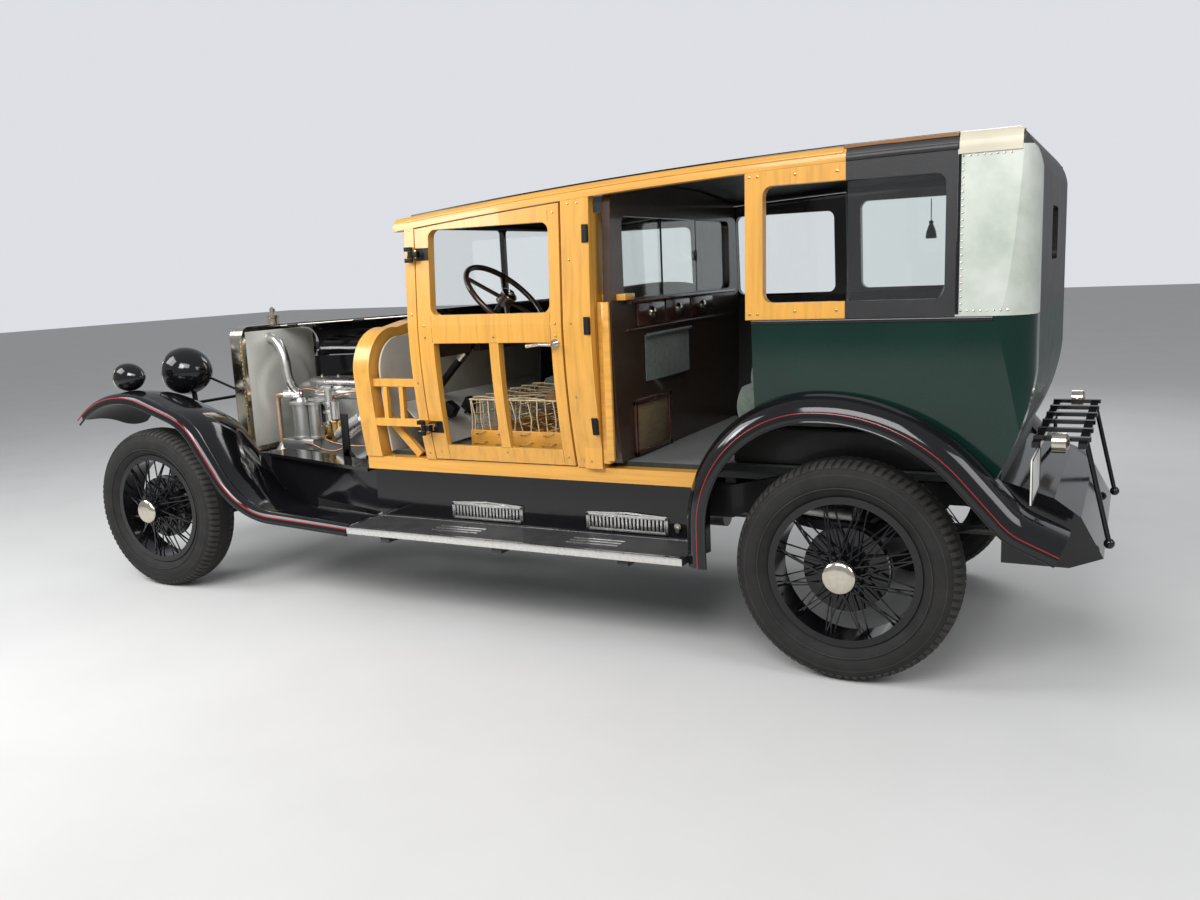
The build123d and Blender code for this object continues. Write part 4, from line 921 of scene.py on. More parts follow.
def dress_right_side():
    """Belt moulding outside, and dark trim, nickel winders and levers on the doors."""
    for node, body, spans in [("right_side", "car", [(-0.37, 0.352), (0.99, 1.125), (1.855, 1.895)]),
                              ("door_rear_right", "rear_right_door", [(0.365, 0.978)]),
                              ("door_front_right", "front_right_door", [(1.138, 1.842)])]:
        wall, mould = Surface(node), bmesh.new()
        for low, high in spans:
            for z, width in ((BELT_Z + 0.002, 0.026), (1.318, 0.008)):
                strip(mould, side_run(wall, (low, z), (high, z), 8, -1), width, width * 0.4)
        piece(f"belt_moulding_{node}", mould, black_enamel, body)
    # Node, body, and the trim's panels as (x span, z span), the lower one clear of the wheel arch
    for node, body, panels in [
        ("door_rear_right", "rear_right_door",
         [((0.372, 0.970), (1.050, 1.385)), ((0.640, 0.970), (0.80, 1.050))]),
        ("door_front_right", "front_right_door", [((1.146, 1.834), (0.80, 1.385))]),
    ]:
        wall, trim, fittings = Surface(node), bmesh.new(), bmesh.new()
        for x_span, z_span in panels:
            panel_on(trim, wall, inner_hit, x_span, z_span, -1, 0.0045)
        piece(f"trim_{node}", trim, dark_leather, body)
        low, high = panels[0][0]
        hub, normal = inner_hit(wall, (low + high) / 2, 1.22, -1)
        start = hub + normal * 0.004
        tip = start + normal * 0.022 + Vector((0.055, 0, -0.075))
        rod(fittings, start, start + normal * 0.022, 0.020, 20, 0.015)
        rod(fittings, start + normal * 0.018, tip, 0.006, 10)
        rod(fittings, tip, tip + normal * 0.022, 0.009)
        hub, normal = inner_hit(wall, low + 0.07, 1.30, -1)
        start = hub + normal * 0.004
        rod(fittings, start, start + normal * 0.03, 0.011, 14)
        rod(fittings, start + normal * 0.026, start + normal * 0.03 + FORWARD * 0.085, 0.0055, 10)
        piece(f"fittings_{node}", fittings, nickel, body)
    for node, body, x in (("door_rear_right", "rear_right_door", 0.40),
                          ("door_front_right", "front_right_door", 1.17)):
        lever_handle(f"handle_{node}", Surface(node), x, -1, body)


HINGE_OUT = 0.802
HINGE_HEIGHTS = (0.905, 1.655)


def hinge_plates(bm, surface, x_span, half):
    for z in HINGE_HEIGHTS:
        panel_on(bm, surface, side_hit, x_span, (z - half, z + half), 1, 0.004, (2, 2))


def dress_bare_door():
    """Lever, hinge plates and screws on the bare ash door."""
    door, body = Surface("door_front_left"), "front_left_door"
    plates, screws = bmesh.new(), bmesh.new()
    lever_handle("handle_door_front_left", door, 1.145, 1, body)
    hinge_plates(plates, door, (1.776, 1.838), 0.026)
    piece("hinge_plates_door", plates, iron_black, body)
    for xs, zs in (((1.162, 1.812), (0.79, 1.30, 1.35, 1.79)), ((1.462,), (0.80, 1.30)),
                   ((1.79, 1.822), (0.892, 0.918, 1.642, 1.668))):
        screw_heads(screws, door, [(x, z) for x in xs for z in zs])
    piece("door_screws", screws, brass, body)


def dress_door_joints():
    """Dark lines where the bare door's rails meet its stiles."""
    door, lines = Surface("door_front_left"), bmesh.new()
    for start, end in [((1.1855, 1.757), (1.1855, 1.800)), ((1.7745, 1.757), (1.7745, 1.790)),
                       ((1.1855, 1.277), (1.1855, 1.393)), ((1.7745, 1.277), (1.7745, 1.393)),
                       ((1.1855, 0.757), (1.1855, 0.820)), ((1.7695, 0.757), (1.7695, 0.820)),
                       ((1.441, 0.8215), (1.484, 0.8215)), ((1.441, 1.2755), (1.484, 1.2755))]:
        hits = side_run(door, start, end, 4)
        if all(hits):
            strip(lines, hits, 0.0016, 0.0003, (hits[-1][0] - hits[0][0]).normalized())
    piece("door_joint_lines", lines, dark_wood, "front_left_door")


def dress_hinges():
    """Black iron over the barrels and leaves of every door hinge."""
    for body, x, out in [("front_left_door", 1.8475, 1), ("front_right_door", 1.8475, -1),
                         ("rear_right_door", 0.9825, -1)]:
        fixed, swung = bmesh.new(), bmesh.new()
        pin_y, leaf_y = out * HINGE_OUT, (out * 0.7785, out * 0.8035)
        for z in HINGE_HEIGHTS:
            for span in ((z - 0.0325, z - 0.0150), (z + 0.0150, z + 0.0325)):
                post(fixed, x, pin_y, span, 0.0102, 20)
                slab(fixed, (x + 0.004, x + 0.0335), leaf_y, span, 0.001)
            span = (z - 0.0138, z + 0.0138)
            post(swung, x, pin_y, span, 0.0102, 20)
            slab(swung, (x - 0.0335, x - 0.004), leaf_y, span, 0.001)
        piece(f"hinge_irons_{body}", fixed, iron_black)
        piece(f"hinge_leaves_{body}", swung, iron_black, body)


def dress_posts():
    """Black hinge halves and screws on the bare posts."""
    centre, front = Surface("centre_post"), Surface("front_post")
    iron, plates, screws = bmesh.new(), bmesh.new(), bmesh.new()
    for z in (0.93, 1.34, 1.70):
        panel_on(iron, centre, side_hit, (1.003, 1.030), (z - 0.035, z + 0.035), 1, 0.005, (1, 2))
        place, normal = side_hit(centre, 1.006, z)
        rod(iron, place + normal * 0.009 - UP * 0.03, place + normal * 0.009 + UP * 0.03, 0.008, 14)
    piece("rear_door_hinges_left", iron, iron_black)
    hinge_plates(plates, front, (1.8535, 1.884), 0.03)
    piece("front_post_hinge_plates", plates, iron_black)
    screw_heads(screws, centre, [(1.09, z) for z in (0.78, 1.05, 1.35, 1.60, 1.82)] +
                [(1.05, 0.78), (1.05, 1.82)])
    screw_heads(screws, front, [(1.875, z) for z in (0.78, 1.10, 1.40, 1.76)])
    screw_heads(screws, Surface("rear_post"), [(x, z) for x in (0.31, 0.34) for z in (1.37, 1.86)] +
                [(x, z) for z in (1.378, 1.858) for x in (0.02, 0.17)])
    piece("frame_screws", screws, brass)


def dress_boards():
    """Aluminium edging and bright strips on the ribbed running boards."""
    start, end, top = 0.6085, 2.281, (0.4372, 0.4404)
    for side, out in (("left", 1), ("right", -1)):
        edge, ribs, bright = bmesh.new(), bmesh.new(), bmesh.new()
        y_out, y_in = out * 0.8675, out * 0.606
        slabs(edge, 0.0006, ((start, end), (out * 0.846, y_out), top),
              ((start, end), (out * 0.8655, y_out), (0.409, 0.4404)),
              ((start, end), (y_in, out * 0.617), top),
              ((start, start + 0.011), (y_in, y_out), top), ((end - 0.011, end), (y_in, y_out), top))
        for y in (out * (0.624 + 0.0118 * i) for i in range(19)):
            slab(ribs, (0.622, 2.268), (y, y + out * 0.006), (0.4378, 0.4396), 0.0)
        for x in (0.93, 1.62):
            for y in (0.70, 0.735, 0.77):
                slab(bright, (x, x + 0.24), (out * y, out * (y + 0.012)), (0.4394, 0.4416), 0.0008)
        piece(f"board_edging_{side}", edge, aluminium)
        piece(f"board_ribs_{side}", ribs, mat_rubber)
        piece(f"board_strips_{side}", bright, aluminium)


def dress_lamps():
    """Rims, reflectors and lenses of the head and side lamps, and the tail lamps' lenses."""
    rims, dishes, lenses, tails = (bmesh.new() for _ in range(4))
    # Place, radius and length of a head lamp and a side lamp
    for x, y, z, radius, length in [(3.690, 0.420, 1.107, 0.125, 0.210), (3.800, 0.715, 1.106, 0.070, 0.150)]:
        face = length * 0.42
        rim = [(radius * 0.93, face + 0.0012), (radius * 0.99, face + 0.001), (radius + 0.0018, face - 0.004),
               (radius + 0.0018, face - 0.014), (radius * 0.985, face - 0.016)]
        dish = [(0.0, face + 0.0092), (radius * 0.60, face + 0.0060), (radius * 0.93, face + 0.0006)]
        lens = [(0.0, face + 0.0150), (radius * 0.35, face + 0.0140), (radius * 0.62, face + 0.0112),
                (radius * 0.93, face + 0.0016)]
        for out in (-1, 1):
            for bm, profile in ((rims, rim), (dishes, dish), (lenses, lens)):
                lathe(bm, profile, spot(x, out * y, z, 90), 40)
    piece("lamp_rims", rims, nickel)
    piece("lamp_dishes", dishes, nickel)
    piece("lamp_lenses", lenses, glass, smooth=80)
    for out in (-1, 1):
        lathe(tails, [(0.0, 0.034), (0.014, 0.033), (0.026, 0.029), (0.033, 0.0235)],
              spot(-0.702, out * 0.590, 0.898, -90), 32)
    piece("tail_lenses", tails, glass, smooth=80)


RADIATOR_FACE = 3.505


def radiator_outline(inset):
    """The radiator's rounded front outline as (y, z)."""
    half, top, bottom, corner = 0.290 - inset, 1.333 - inset, 0.640 + inset, 0.060 - inset * 0.6
    left, high, low = half - corner, top - corner, bottom + corner
    return [(y + corner * math.cos(a), z + corner * math.sin(a))
            for y, z, start in ((left, high, 0), (-left, high, 90), (-left, low, 180), (left, low, 270))
            for a in (math.radians(start + 90 * k / 8) for k in range(9))]


def dress_radiator():
    """Brass front rim and side strips with their screws, the core's upright tubes and the filler cap."""
    rim, screws, tubes, cap = (bmesh.new() for _ in range(4))
    outer, inner = radiator_outline(0.001), radiator_outline(0.026)
    skin(rim, [[rim.verts.new(at(RADIATOR_FACE + dx, y, z)) for y, z in line] for dx, line in
               ((0.0003, outer), (0.005, outer), (0.005, inner), (0.0003, inner))], closed=True)
    middle = radiator_outline(0.0135)
    lengths = [0.0]
    for a, b in zip(middle, middle[1:] + middle[:1]):
        lengths.append(lengths[-1] + math.dist(a, b))
    for goal in between(0, lengths[-1], 54)[:-1]:
        k = max(j for j in range(len(middle)) if lengths[j] <= goal)
        a, b = middle[k], middle[(k + 1) % len(middle)]
        t = (goal - lengths[k]) / max(lengths[k + 1] - lengths[k], 1e-9)
        y, z = (p + (q - p) * t for p, q in zip(a, b))
        stud(screws, at(RADIATOR_FACE + 0.005, y, z), FORWARD, 0.0038, 0.0022)
    for side in (-1, 1):
        slab(rim, (3.4215, 3.4385), (side * 0.2902, side * 0.2925), (0.665, 1.262), 0.0008)
        for i in range(24):
            stud(screws, at(3.430, side * 0.2925, 0.680 + 0.0248 * i), Vector((0, side, 0)), 0.0042, 0.0024)
    piece("radiator_rim", rim, brass)
    piece("radiator_screws", screws, nickel)
    for i in range(47):
        post(tubes, 3.4955, -0.253 + 0.011 * i, (0.675, 1.298), 0.0032, 6)
    piece("radiator_tubes", tubes, steel)
    lathe(cap, [(0.030, 0.0), (0.038, 0.004), (0.038, 0.018), (0.032, 0.024), (0.018, 0.028), (0.0155, 0.030),
                (0.0155, 0.055), (0.010, 0.062), (0.0, 0.064)], spot(3.460, 0, 1.365), 32)
    piece("radiator_cap", cap, nickel)


def dress_column():
    """Horn push on the steering wheel, and two clamps on the column."""
    hub, column = bmesh.new(), bmesh.new()
    top, s = at(1.67, 0.345, 1.44), math.sqrt(0.5)
    up = Vector((-s, 0, s))
    place = Matrix.Translation(top) @ up.to_track_quat("Z", "Y").to_matrix().to_4x4()
    push = [(0.040, 0.0295), (0.040, 0.034), (0.030, 0.039), (0.014, 0.041), (0.014, 0.050), (0.0, 0.052)]
    lathe(hub, push, place, 32)
    piece("steering_hub", hub, nickel, "steering_wheel")
    for down, radius in ((0.10, 0.026), (0.34, 0.024)):
        rod(column, top - up * down, top - up * (down + 0.05), radius, 20)
    piece("column_clamps", column, nickel)


def dress_plate_and_rack():
    """Rim round the blank plate, and balls at the rack's struts."""
    rim, balls = bmesh.new(), bmesh.new()
    x, right, left, low, high, width = (-0.6362, -0.6342), 0.470, 0.790, 0.715, 0.8697, 0.007
    slabs(rim, 0.0005, (x, (right, left), (low, low + width)), (x, (right, left), (high - width, high)),
          (x, (right, right + width), (low, high)), (x, (left - width, left), (low, high)))
    piece("plate_rim", rim, black_enamel)
    for y in (-0.45, 0.45):
        lathe(balls, [(0.0, -0.0195), (0.011, -0.0162), (0.0185, -0.006), (0.0185, 0.006), (0.011, 0.0162),
                      (0.0, 0.0195)], spot(-0.868, y, 0.515), 20)
    piece("strut_balls", balls, black_enamel, smooth=80)


# Engine

HEAD_OUTLINE = [(2.330, -0.095), (2.330, 0.095), (3.090, 0.095), (3.205, 0.030), (3.205, -0.030),
                (3.090, -0.095)]
PIPE_RUNS = [
    [(2.962, 0.196, 0.735), (2.93, 0.235, 0.72), (2.80, 0.25, 0.70), (2.62, 0.24, 0.70), (2.40, 0.22, 0.74),
     (2.31, 0.2, 0.80)],
    [(3.155, 0.160, 0.934), (3.15, 0.17, 0.972), (3.10, 0.17, 0.985), (3.03, 0.165, 0.978),
     (2.99, 0.155, 0.965)],
    [(2.880, 0.205, 0.925), (2.87, 0.215, 0.955), (2.80, 0.21, 0.972), (2.70, 0.19, 0.975),
     (2.60, 0.16, 0.95), (2.60, 0.16, 0.87)],
    [(3.10, 0.215, 0.690), (3.02, 0.240, 0.690), (2.95, 0.235, 0.665), (2.88, 0.22, 0.66),
     (2.80, 0.20, 0.69)],
]


def dress_engine_body():
    """Polished head cover with its nuts, and the crankcase with its covers, barrels and tray."""
    cover, nuts, case = bmesh.new(), bmesh.new(), bmesh.new()
    layered(cover, HEAD_OUTLINE,
            [(0.002, 1.0102), (0.004, 1.019), (0.014, 1.028), (0.034, 1.0325), (0.070, 1.034)])
    layered(cover, HEAD_OUTLINE, [(-0.009, 0.926), (-0.011, 0.930), (-0.011, 0.941), (-0.002, 0.944)])
    bars(cover, ((3.150, 0, 0.992), (3.262, 0, 0.982), 0.034, 28, 0.026),
         ((3.262, 0, 0.982), (3.312, 0, 0.972), 0.026, 28, 0.012))
    piece("head_cover", cover, aluminium)
    for i in range(7):
        nut(nuts, at(2.43 + 0.117 * i, 0, 1.034), UP, 0.010, 0.008)
    for side in (-1, 1):
        for i in range(8):
            nut(nuts, at(2.36 + 0.10 * i, side * 0.099, 0.9435), UP, 0.0075, 0.007)
        for i in range(9):
            for z in (0.765, 0.500):
                nut(nuts, at(2.38 + 0.095 * i, side * 0.1515, z), Vector((0, side, 0)), 0.008, 0.006)
    piece("engine_nuts", nuts, nickel)
    # Sump flange, timing case ahead of the block, and the inspection covers on the crankcase's sides
    slab(case, (2.335, 3.196), (-0.158, 0.158), (0.552, 0.566), 0.003)
    slab(case, (2.335, 3.196), (-0.156, 0.156), (0.768, 0.782), 0.003)
    slab(case, (3.188, 3.232), (-0.125, 0.125), (0.500, 0.860), 0.014)
    bars(case, ((3.225, 0, 0.640), (3.300, 0, 0.640), 0.085, 40, 0.060),
         ((3.225, 0, 0.800), (3.262, 0, 0.800), 0.060, 32, 0.045))
    slabs(case, 0.003, *[((x, x + 0.17), (side * 0.149, side * 0.157), (0.595, 0.740))
                         for side in (-1, 1) for x in (2.41, 2.63, 2.85)])
    # Two upright barrels with flanges at the front left, on their shared foot
    slab(case, (3.045, 3.270), (0.100, 0.215), (0.655, 0.712), 0.008)
    for x, radius in ((3.155, 0.050), (3.062, 0.034)):
        for span, wider in (((0.712, 0.900), 0.0), ((0.900, 0.914), 0.014), ((0.712, 0.724), 0.012)):
            post(case, x, 0.160, span, radius + wider, 32)
    post(case, 3.155, 0.160, (0.914, 0.934), 0.030, 24, 0.022)
    # Rounded front of the sump tray
    slab(case, (3.235, 3.385), (-0.190, 0.230), (0.600, 0.640), 0.016)
    post(case, 3.300, 0.150, (0.628, 0.672), 0.072, 36, 0.040)
    piece("engine_case", case, cast_metal, smooth=30)


def dress_engine_left():
    """Carburettor, spark plugs with their leads, starter, oil filler and petrol pipes."""
    riser, bowl, plugs, leads, fittings, pipes = (bmesh.new() for _ in range(6))
    x, y = 2.962, 0.150
    post(riser, x, y, (0.800, 0.985), 0.026, 28)
    for z, radius in ((0.984, 0.040), (0.905, 0.034), (0.860, 0.038), (0.800, 0.042)):
        post(riser, x, y, (z - 0.006, z + 0.006), radius, 28)
    bars(riser, ((x, y, 0.975), (x, 0.085, 0.975), 0.024, 24),
         ((x, y, 0.880), (2.905, 0.190, 0.880), 0.017, 20),
         ((2.880, 0.205, 0.830), (2.880, 0.205, 0.925), 0.024, 24),
         ((2.540, 0.128, 0.962), (3.060, 0.128, 0.962), 0.020, 24),
         *[((arm, 0.128, 0.962), (arm, 0.092, 0.962), 0.017, 20) for arm in (2.56, 2.70, 2.84, 3.04)])
    lathe(bowl, [(0.0, 0.0), (0.020, 0.002), (0.038, 0.014), (0.045, 0.034), (0.045, 0.084), (0.049, 0.088),
                 (0.049, 0.098), (0.030, 0.104), (0.026, 0.108)], spot(x, y, 0.690), 36)
    lathe(bowl, [(0.0, 0.0), (0.022, 0.006), (0.034, 0.022), (0.034, 0.070), (0.037, 0.073), (0.037, 0.082),
                 (0.012, 0.092), (0.0, 0.093)], spot(2.880, 0.205, 0.738), 32)
    piece("carburettor_risers", riser, aluminium)
    piece("carburettor_bowls", bowl, brass)
    distributor = at(2.470, 0.175, 0.905)
    post(leads, 2.470, 0.175, (0.790, 0.860), 0.022, 20)
    post(leads, 2.470, 0.175, (0.860, 0.905), 0.036, 28, 0.028)
    for i in range(8):
        x = 2.40 + 0.092 * i
        bars(plugs, ((x, 0.094, 0.985), (x, 0.112, 0.989), 0.011, 6),
             ((x, 0.112, 0.989), (x, 0.140, 0.995), 0.0065, 12, 0.005))
        run = at(x, 0.141, 0.995) - distributor
        arcs = [(s, math.sin(math.pi * s)) for s in between(0, 1, 14)]
        tube(leads, [distributor + run * s + Vector((0, 0.030 * arc, 0.05 * arc ** 0.8)) for s, arc in arcs],
             0.0032)
    piece("spark_plugs", plugs, plate_white)
    piece("ignition_leads", leads, mat_rubber, smooth=60)
    bars(fittings, ((2.860, 0.200, 0.735), (2.690, 0.200, 0.840), 0.044, 32),
         ((2.690, 0.200, 0.840), (2.672, 0.200, 0.851), 0.034, 32))
    post(fittings, 2.600, 0.160, (0.770, 0.860), 0.022, 24)
    post(fittings, 2.600, 0.160, (0.860, 0.874), 0.030, 24)
    piece("engine_side_fittings", fittings, aluminium)
    for run in PIPE_RUNS:
        tube(pipes, smooth_run(run), 0.0048, 10)
    piece("engine_pipes", pipes, copper, smooth=60)


def dress_cooling():
    """The radiator's rear sheet, top hose, water pump and copper pipe, and the stays beside the engine."""
    sheet, hose, pipe, stays = (bmesh.new() for _ in range(4))

    def rear_sheet(y, z):
        """A pillow with a raised ring round the fan, as (place, normal)."""
        swell = 0.016 * (1 - (y / 0.262) ** 6) * (1 - ((z - 0.986) / 0.3185) ** 6)
        ring = math.hypot(y, z - 0.96)
        swell += 0.010 * (1 if ring < 0.19 else max(0.0, 1 - (ring - 0.19) / 0.02))
        return at(3.4195 - swell, y, z), -FORWARD

    patch(sheet, [[rear_sheet(y, z) for z in between(0.668, 1.305, 28)]
                  for y in between(-0.262, 0.262, 28)], 0.0015)
    piece("radiator_rear_sheet", sheet, pale_sheet, smooth=50)
    line = smooth_run([(3.415, 0.10, 1.262), (3.372, 0.118, 1.262), (3.300, 0.145, 1.238),
                       (3.258, 0.150, 1.160), (3.244, 0.150, 1.060), (3.236, 0.140, 1.000),
                       (3.222, 0.118, 0.968)])
    tube(hose, line, 0.025, 20)
    for k in (3, 20, 27):
        ahead = (line[k + 1] - line[k]).normalized()
        rod(hose, line[k] - ahead * 0.007, line[k] + ahead * 0.007, 0.0285, 24)
    bars(hose, ((3.252, 0.128, 0.945), (3.285, 0.150, 0.945), 0.036, 28),
         ((3.205, 0.095, 0.945), (3.255, 0.130, 0.945), 0.028, 24))
    piece("top_hose", hose, aluminium, smooth=50)
    tube(pipe, smooth_run([(3.285, 0.150, 0.945), (3.318, 0.150, 0.945), (3.337, 0.150, 0.925),
                           (3.337, 0.150, 0.80), (3.337, 0.150, 0.655)]), 0.0155, 18)
    piece("water_pipe", pipe, pale_copper, smooth=60)
    plank(stays, (2.650, 0.398, 0.645), (2.650, 0.398, 0.890), 0.046, 0.010)
    plank(stays, (2.655, 0.398, 0.700), (2.560, 0.398, 0.600), 0.046, 0.010)
    for side in (1, -1):
        bar(stays, (3.662, side * 0.318, 1.060), (3.470, side * 0.292, 0.985), 0.0065, 12)
    piece("chassis_stays", stays, iron_black)


# Glass and cabin

def pane(name, corners, body="car"):
    """A flat pane of glass, 5 mm thick, from four places in order."""
    bm = bmesh.new()
    a, b, c, d = (at(*q) for q in corners)
    half = (b - a).cross(d - a).normalized() * 0.005 / 2
    skin(bm, [[bm.verts.new(q + shift) for q in (a, b, c, d)] for shift in (-half, half)])
    piece(name, bm, glass, body)


def cross_pane(name, x, y, z):
    """A pane across the car between two y and two z."""
    pane(name, [(x, y[0], z[0]), (x, y[1], z[0]), (x, y[1], z[1]), (x, y[0], z[1])])


def dress_glass():
    """Panes of the doors, quarters, windscreen, partition and back, and the sliding pane's edges and pull."""
    for name, x0, x1, z0, z1, out, body in [
        ("glass_door_front_right", 1.175, 1.785, 1.385, 1.765, -1, "front_right_door"),
        ("glass_door_rear_right", 0.410, 0.940, 1.385, 1.800, -1, "rear_right_door"),
        ("glass_quarter_right", -0.355, 0.300, 1.400, 1.835, -1, "car"),
        ("glass_quarter_left", -0.355, -0.012, 1.400, 1.835, 1, "car"),
    ]:
        # Middle of the side wall above the belt, which leans in
        low, high = (out * (0.770 - (z - BELT_Z) * 0.053) for z in (z0, z1))
        pane(name, [(x0, low, z0), (x1, low, z0), (x1, high, z1), (x0, high, z1)], body)
    cross_pane("glass_windscreen_left", 1.888, (0.008, 0.676), (1.413, 1.767))
    cross_pane("glass_windscreen_right", 1.888, (-0.676, -0.008), (1.413, 1.767))
    for i, (x, *y) in enumerate([(0.951, -0.622, -0.195), (0.944, -0.205, 0.205), (0.951, 0.195, 0.622)]):
        cross_pane(f"glass_partition_{i}", x, y, (1.433, 1.767))
    cross_pane("glass_back", -0.610, (-0.149, 0.149), (1.516, 1.724))
    edges = bmesh.new()
    for y in (-0.20, 0.20):
        slab(edges, (0.9405, 0.9475), (y - 0.003, y + 0.003), (1.436, 1.764), 0.0008)
    tube(edges, [at(0.936, -0.178 + 0.018 * math.cos(a), 1.60 + 0.018 * math.sin(a))
                 for a in (2 * math.pi * i / 24 for i in range(24))], 0.0025, closed=True)
    slab(edges, (0.936, 0.9425), (-0.200, -0.192), (1.575, 1.625), 0.001)
    piece("partition_glass_edges", edges, iron_black)


def dress_partition():
    """Drawers with nickel pulls, a cloth pocket and a framed panel on the partition's rear face."""
    drawers, pulls, cloth_made, moulding, panel = (bmesh.new() for _ in range(5))
    face = 0.930
    skin_x = face - 0.0003
    for y in (0.378, 0.086, -0.206):
        slab(drawers, (face - 0.012, skin_x), (y - 0.138, y + 0.138), (1.318, 1.412), 0.003)
        lathe(pulls, [(0.026, 0.0), (0.026, 0.004), (0.020, 0.012), (0.010, 0.016), (0.0, 0.017)],
              spot(face - 0.012, y, 1.368, -90), 28)
    slab(drawers, (face - 0.030, skin_x), (-0.62, 0.62), (1.415, 1.430), 0.003)
    slab(drawers, (face - 0.010, skin_x), (-0.62, 0.62), (1.300, 1.312), 0.003)
    piece("partition_drawers", drawers, rich_wood)
    piece("partition_pulls", pulls, nickel)

    def pocket(i, k):
        """The pocket's cloth as (place, normal), fuller at its hem."""
        fullness = 0.35 + 0.65 * math.sin(math.pi * min(1.0, 0.15 + k / 14))
        swell = 0.004 + 0.018 * math.sin(math.pi * i / 24) * fullness
        return at(face - swell, -0.035 + 0.483 * i / 24, 1.080 + 0.196 * k / 12), -FORWARD

    patch(cloth_made, [[pocket(i, k) for k in range(13)] for i in range(25)], 0.003)
    slab(cloth_made, (face - 0.026, face - 0.012), (-0.037, 0.450), (1.270, 1.282), 0.004)
    piece("partition_pocket", cloth_made, grey_cloth, smooth=60)
    for y, z in [((0.205, 0.577), (0.990, 1.012)), ((0.205, 0.577), (0.776, 0.797)),
                 ((0.205, 0.226), (0.776, 1.012)), ((0.556, 0.577), (0.776, 1.012))]:
        slab(moulding, (face - 0.014, skin_x), y, z, 0.003)
    slab(panel, (face - 0.005, skin_x), (0.220, 0.562), (0.790, 0.998), 0.001)
    piece("partition_moulding", moulding, rich_wood)
    piece("partition_panel", panel, burr_panel)


def dress_dials():
    """Four dials on the dash."""
    rims, faces, hands = bmesh.new(), bmesh.new(), bmesh.new()
    for y, z, radius in ((0.10, 1.275, 0.052), (-0.04, 1.275, 0.052), (0.20, 1.262, 0.030),
                         (-0.14, 1.262, 0.030)):
        place = spot(1.8548, y, z, -90)
        lathe(rims, [(radius * 0.84, 0.004), (radius * 0.88, 0.009), (radius * 0.97, 0.010), (radius, 0.004),
                     (radius, 0.0)], place, 36)
        lathe(faces, [(radius * 0.88, 0.002), (radius * 0.5, 0.0032), (0.0, 0.0035)], place, 36)
        bar(hands, (1.8505, y, z), (1.8505, y + radius * 0.5, z + radius * 0.45), 0.0012, 6)
    piece("dial_rims", rims, nickel)
    piece("dial_faces", faces, plate_white)
    piece("dial_hands", hands, iron_black)


def dress_cabin():
    """Levers, pedals, toe board, the bare side's struts, the blind's cord and tassel, and wall trim."""
    levers, toe, struts, kick, tassel, cord, walls = (bmesh.new() for _ in range(7))
    for x, y, lean, height in ((1.60, 0.0, 0.10, 0.42), (1.72, -0.10, 0.16, 0.46)):
        bar(levers, (x, y, 0.772), (x - lean, y, 0.772 + height), 0.009, 14, 0.0065)
        lathe(levers, [(0.006, -0.004), (0.020, 0.006), (0.024, 0.020), (0.018, 0.036), (0.0, 0.042)],
              spot(x - lean, y, 0.772 + height), 20)
        post(levers, x, y, (0.7705, 0.790), 0.038, 24, 0.016)
    for y in (0.235, 0.400):
        plank(levers, (1.985, y, 0.930), (2.060, y, 0.830), 0.010, 0.010)
        plank(levers, (1.965, y, 0.955), (2.000, y, 0.905), 0.062, 0.052, 0.004)
    piece("cab_levers", levers, iron_black)
    plank(toe, (2.115, 0.0, 0.985), (1.925, 0.0, 0.785), 0.006, 1.20)
    piece("toe_board", toe, pale_sheet)
    plank(struts, (2.150, 0.668, 0.942), (1.968, 0.668, 0.760), 0.036, 0.030)
    plank(struts, (0.372, 0.628, 0.985), (0.560, 0.628, 0.800), 0.042, 0.028)
    slabs(struts, 0.003, ((0.890, 0.998), (0.600, 0.690), (1.432, 1.458)),
          ((0.9665, 0.9985), (0.665, 0.735), (0.772, 1.430)),
          ((0.9340, 0.9660), (0.7455, 0.7630), (0.790, 1.430)),
          ((0.932, 0.962), (0.655, 0.700), (1.255, 1.290)))
    piece("ash_struts", struts, ash_along_x)
    plank(kick, (0.505, 0.645, 0.880), (0.585, 0.645, 0.800), 0.010, 0.020, 0.001)
    piece("sill_kick_strip", kick, aluminium)
    x, y, top = -0.051, -0.680, 1.812
    tube(cord, [at(x, y, z) for z in between(top, top - 0.10, 6)], 0.0022)
    lathe(tassel, [(0.0, 0.002), (0.008, 0.0), (0.011, -0.008), (0.008, -0.016), (0.013, -0.024),
                   (0.022, -0.050), (0.026, -0.078), (0.022, -0.082), (0.0, -0.080)],
          spot(x, y, top - 0.10), 20)
    piece("blind_cord", cord, dark_leather)
    piece("blind_tassel", tassel, dark_leather)
    for node, out, x_span, z_span in [("right_side", -1, (-0.36, 0.345), (1.10, 1.392)),
                                      ("right_side", -1, (0.996, 1.122), (0.80, 1.80)),
                                      ("lower_quarter", 1, (-0.36, 0.325), (1.10, 1.345))]:
        panel_on(walls, Surface(node), inner_hit, x_span, z_span, out, 0.004)
    piece("cabin_wall_trim", walls, dark_leather)


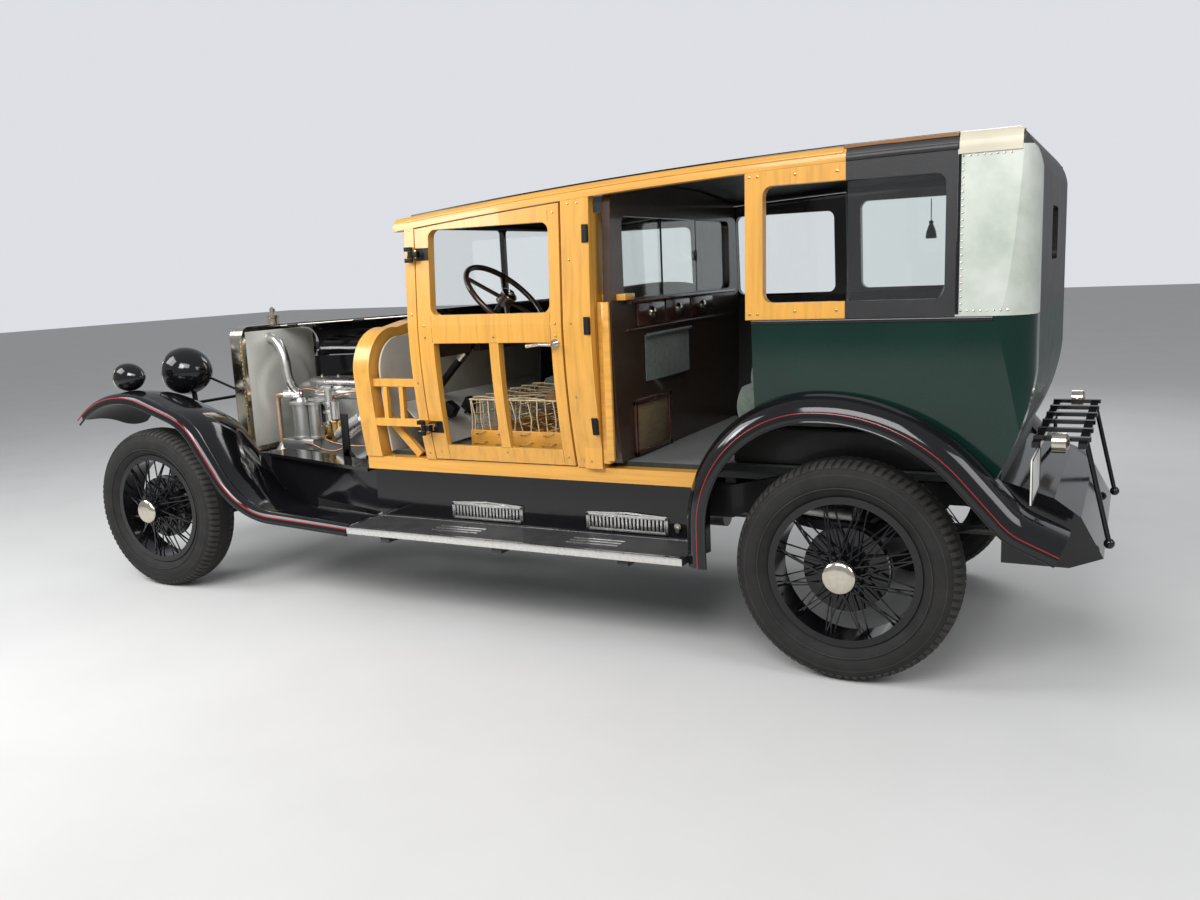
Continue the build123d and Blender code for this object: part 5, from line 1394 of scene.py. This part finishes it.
def dress_vents():
    """Upright louvres in a frame with a low peak on each vent, a thin black sheet of painted shade behind the
    louvres, and the catch between them.
    """
    louvres, gap_shade, catch = bmesh.new(), bmesh.new(), bmesh.new()
    for x0, x1 in ((0.775, 1.158), (1.480, 1.860)):
        inner0, inner1, middle = x0 + 0.012, x1 - 0.012, (x0 + x1) / 2
        for y, out in ((-0.609, -1), (0.609, 1)):
            deep, peak_y = (y, y + out * 0.0045), y + out * 0.0024
            # Painted shade: a thin black sheet behind the louvres that darkens the gaps between them
            slab(gap_shade, (inner0, inner1), (y, y + out * 0.0006), (0.466, 0.516), 0)
            for x in between(inner0, inner1, 20):
                slab(louvres, (x - 0.0048, x + 0.0048), deep, (0.463, 0.519), 0.0015)
            slabs(louvres, 0.0012, ((x0, x1), deep, (0.455, 0.466)), ((x0, x1), deep, (0.516, 0.530)),
                  ((x0, inner0), deep, (0.455, 0.530)), ((inner1, x1), deep, (0.455, 0.530)))
            plank(louvres, (x0 + 0.004, peak_y, 0.529), (middle, peak_y, 0.538), 0.008, 0.004, 0.001)
            plank(louvres, (middle, peak_y, 0.538), (x1 - 0.004, peak_y, 0.529), 0.008, 0.004, 0.001)
    for out in (-1, 1):
        bar(catch, (0.730, out * 0.603, 0.496), (0.730, out * 0.616, 0.496), 0.015, 20)
        slab(catch, (0.722, 0.738), (out * 0.612, out * 0.620), (0.470, 0.510))
    piece("vent_louvres", louvres, aluminium)
    piece("vent_gap_shade", gap_shade, iron_black)
    piece("valance_catches", catch, nickel)


def dress_shoulder():
    """The wood and black strips on the roof's left shoulder, and the cream cap over the primed corner."""
    shell = Surface("roof", "corner_panel", "quarter_cover", "back_panel", "roof_rail")

    def shoulder_hit(x, lift):
        """Where a ray at an angle above the level meets the roof's shoulder."""
        away = Vector((0, math.cos(math.radians(lift)), math.sin(math.radians(lift))))
        return shell.hit(at(x, 0.700, roof_edge(x) - 0.055) + away * 0.4, -away)

    cap = bmesh.new()
    patch(cap, [[shoulder_hit(x, lift) for lift in (-14, 0, 14, 28, 40, 52, 64, 76, 88)]
                for x in between(-0.385, -0.580, 14)], 0.0045)
    piece("roof_corner_cap", cap, cream_trim, smooth=50)
    # Name, material, angle above the level, width, height, and the run's two ends
    for name, material, lift, width, height, x0, x1 in [
        ("shoulder_wood", brown_wood, 50, 0.024, 0.007, -0.380, 0.0),
        ("shoulder_piping", black_enamel, 66, 0.010, 0.006, -0.380, 1.885),
        ("gutter_left", ash_along_x, 30, 0.012, 0.004, 0.0, 1.885),
    ]:
        bm = bmesh.new()
        count = max(4, int((x1 - x0) / 0.06))
        strip(bm, [shoulder_hit(x, lift) for x in between(x0, x1, count)], width, height)
        piece(name, bm, material)


make_camera()
make_stage()
for dress in (dress_nodes, dress_wheels, dress_wings, dress_front_seat, dress_rear_seat, dress_roof,
              dress_corner_panel, dress_right_side, dress_bare_door, dress_hinges, dress_posts, dress_boards,
              dress_lamps, dress_radiator, dress_column, dress_plate_and_rack, dress_engine_body,
              dress_engine_left, dress_cooling, dress_glass, dress_partition, dress_dials, dress_cabin,
              dress_vents, dress_shoulder, dress_door_joints):
    dress()

bpy.context.scene.view_settings.view_transform = "Standard"
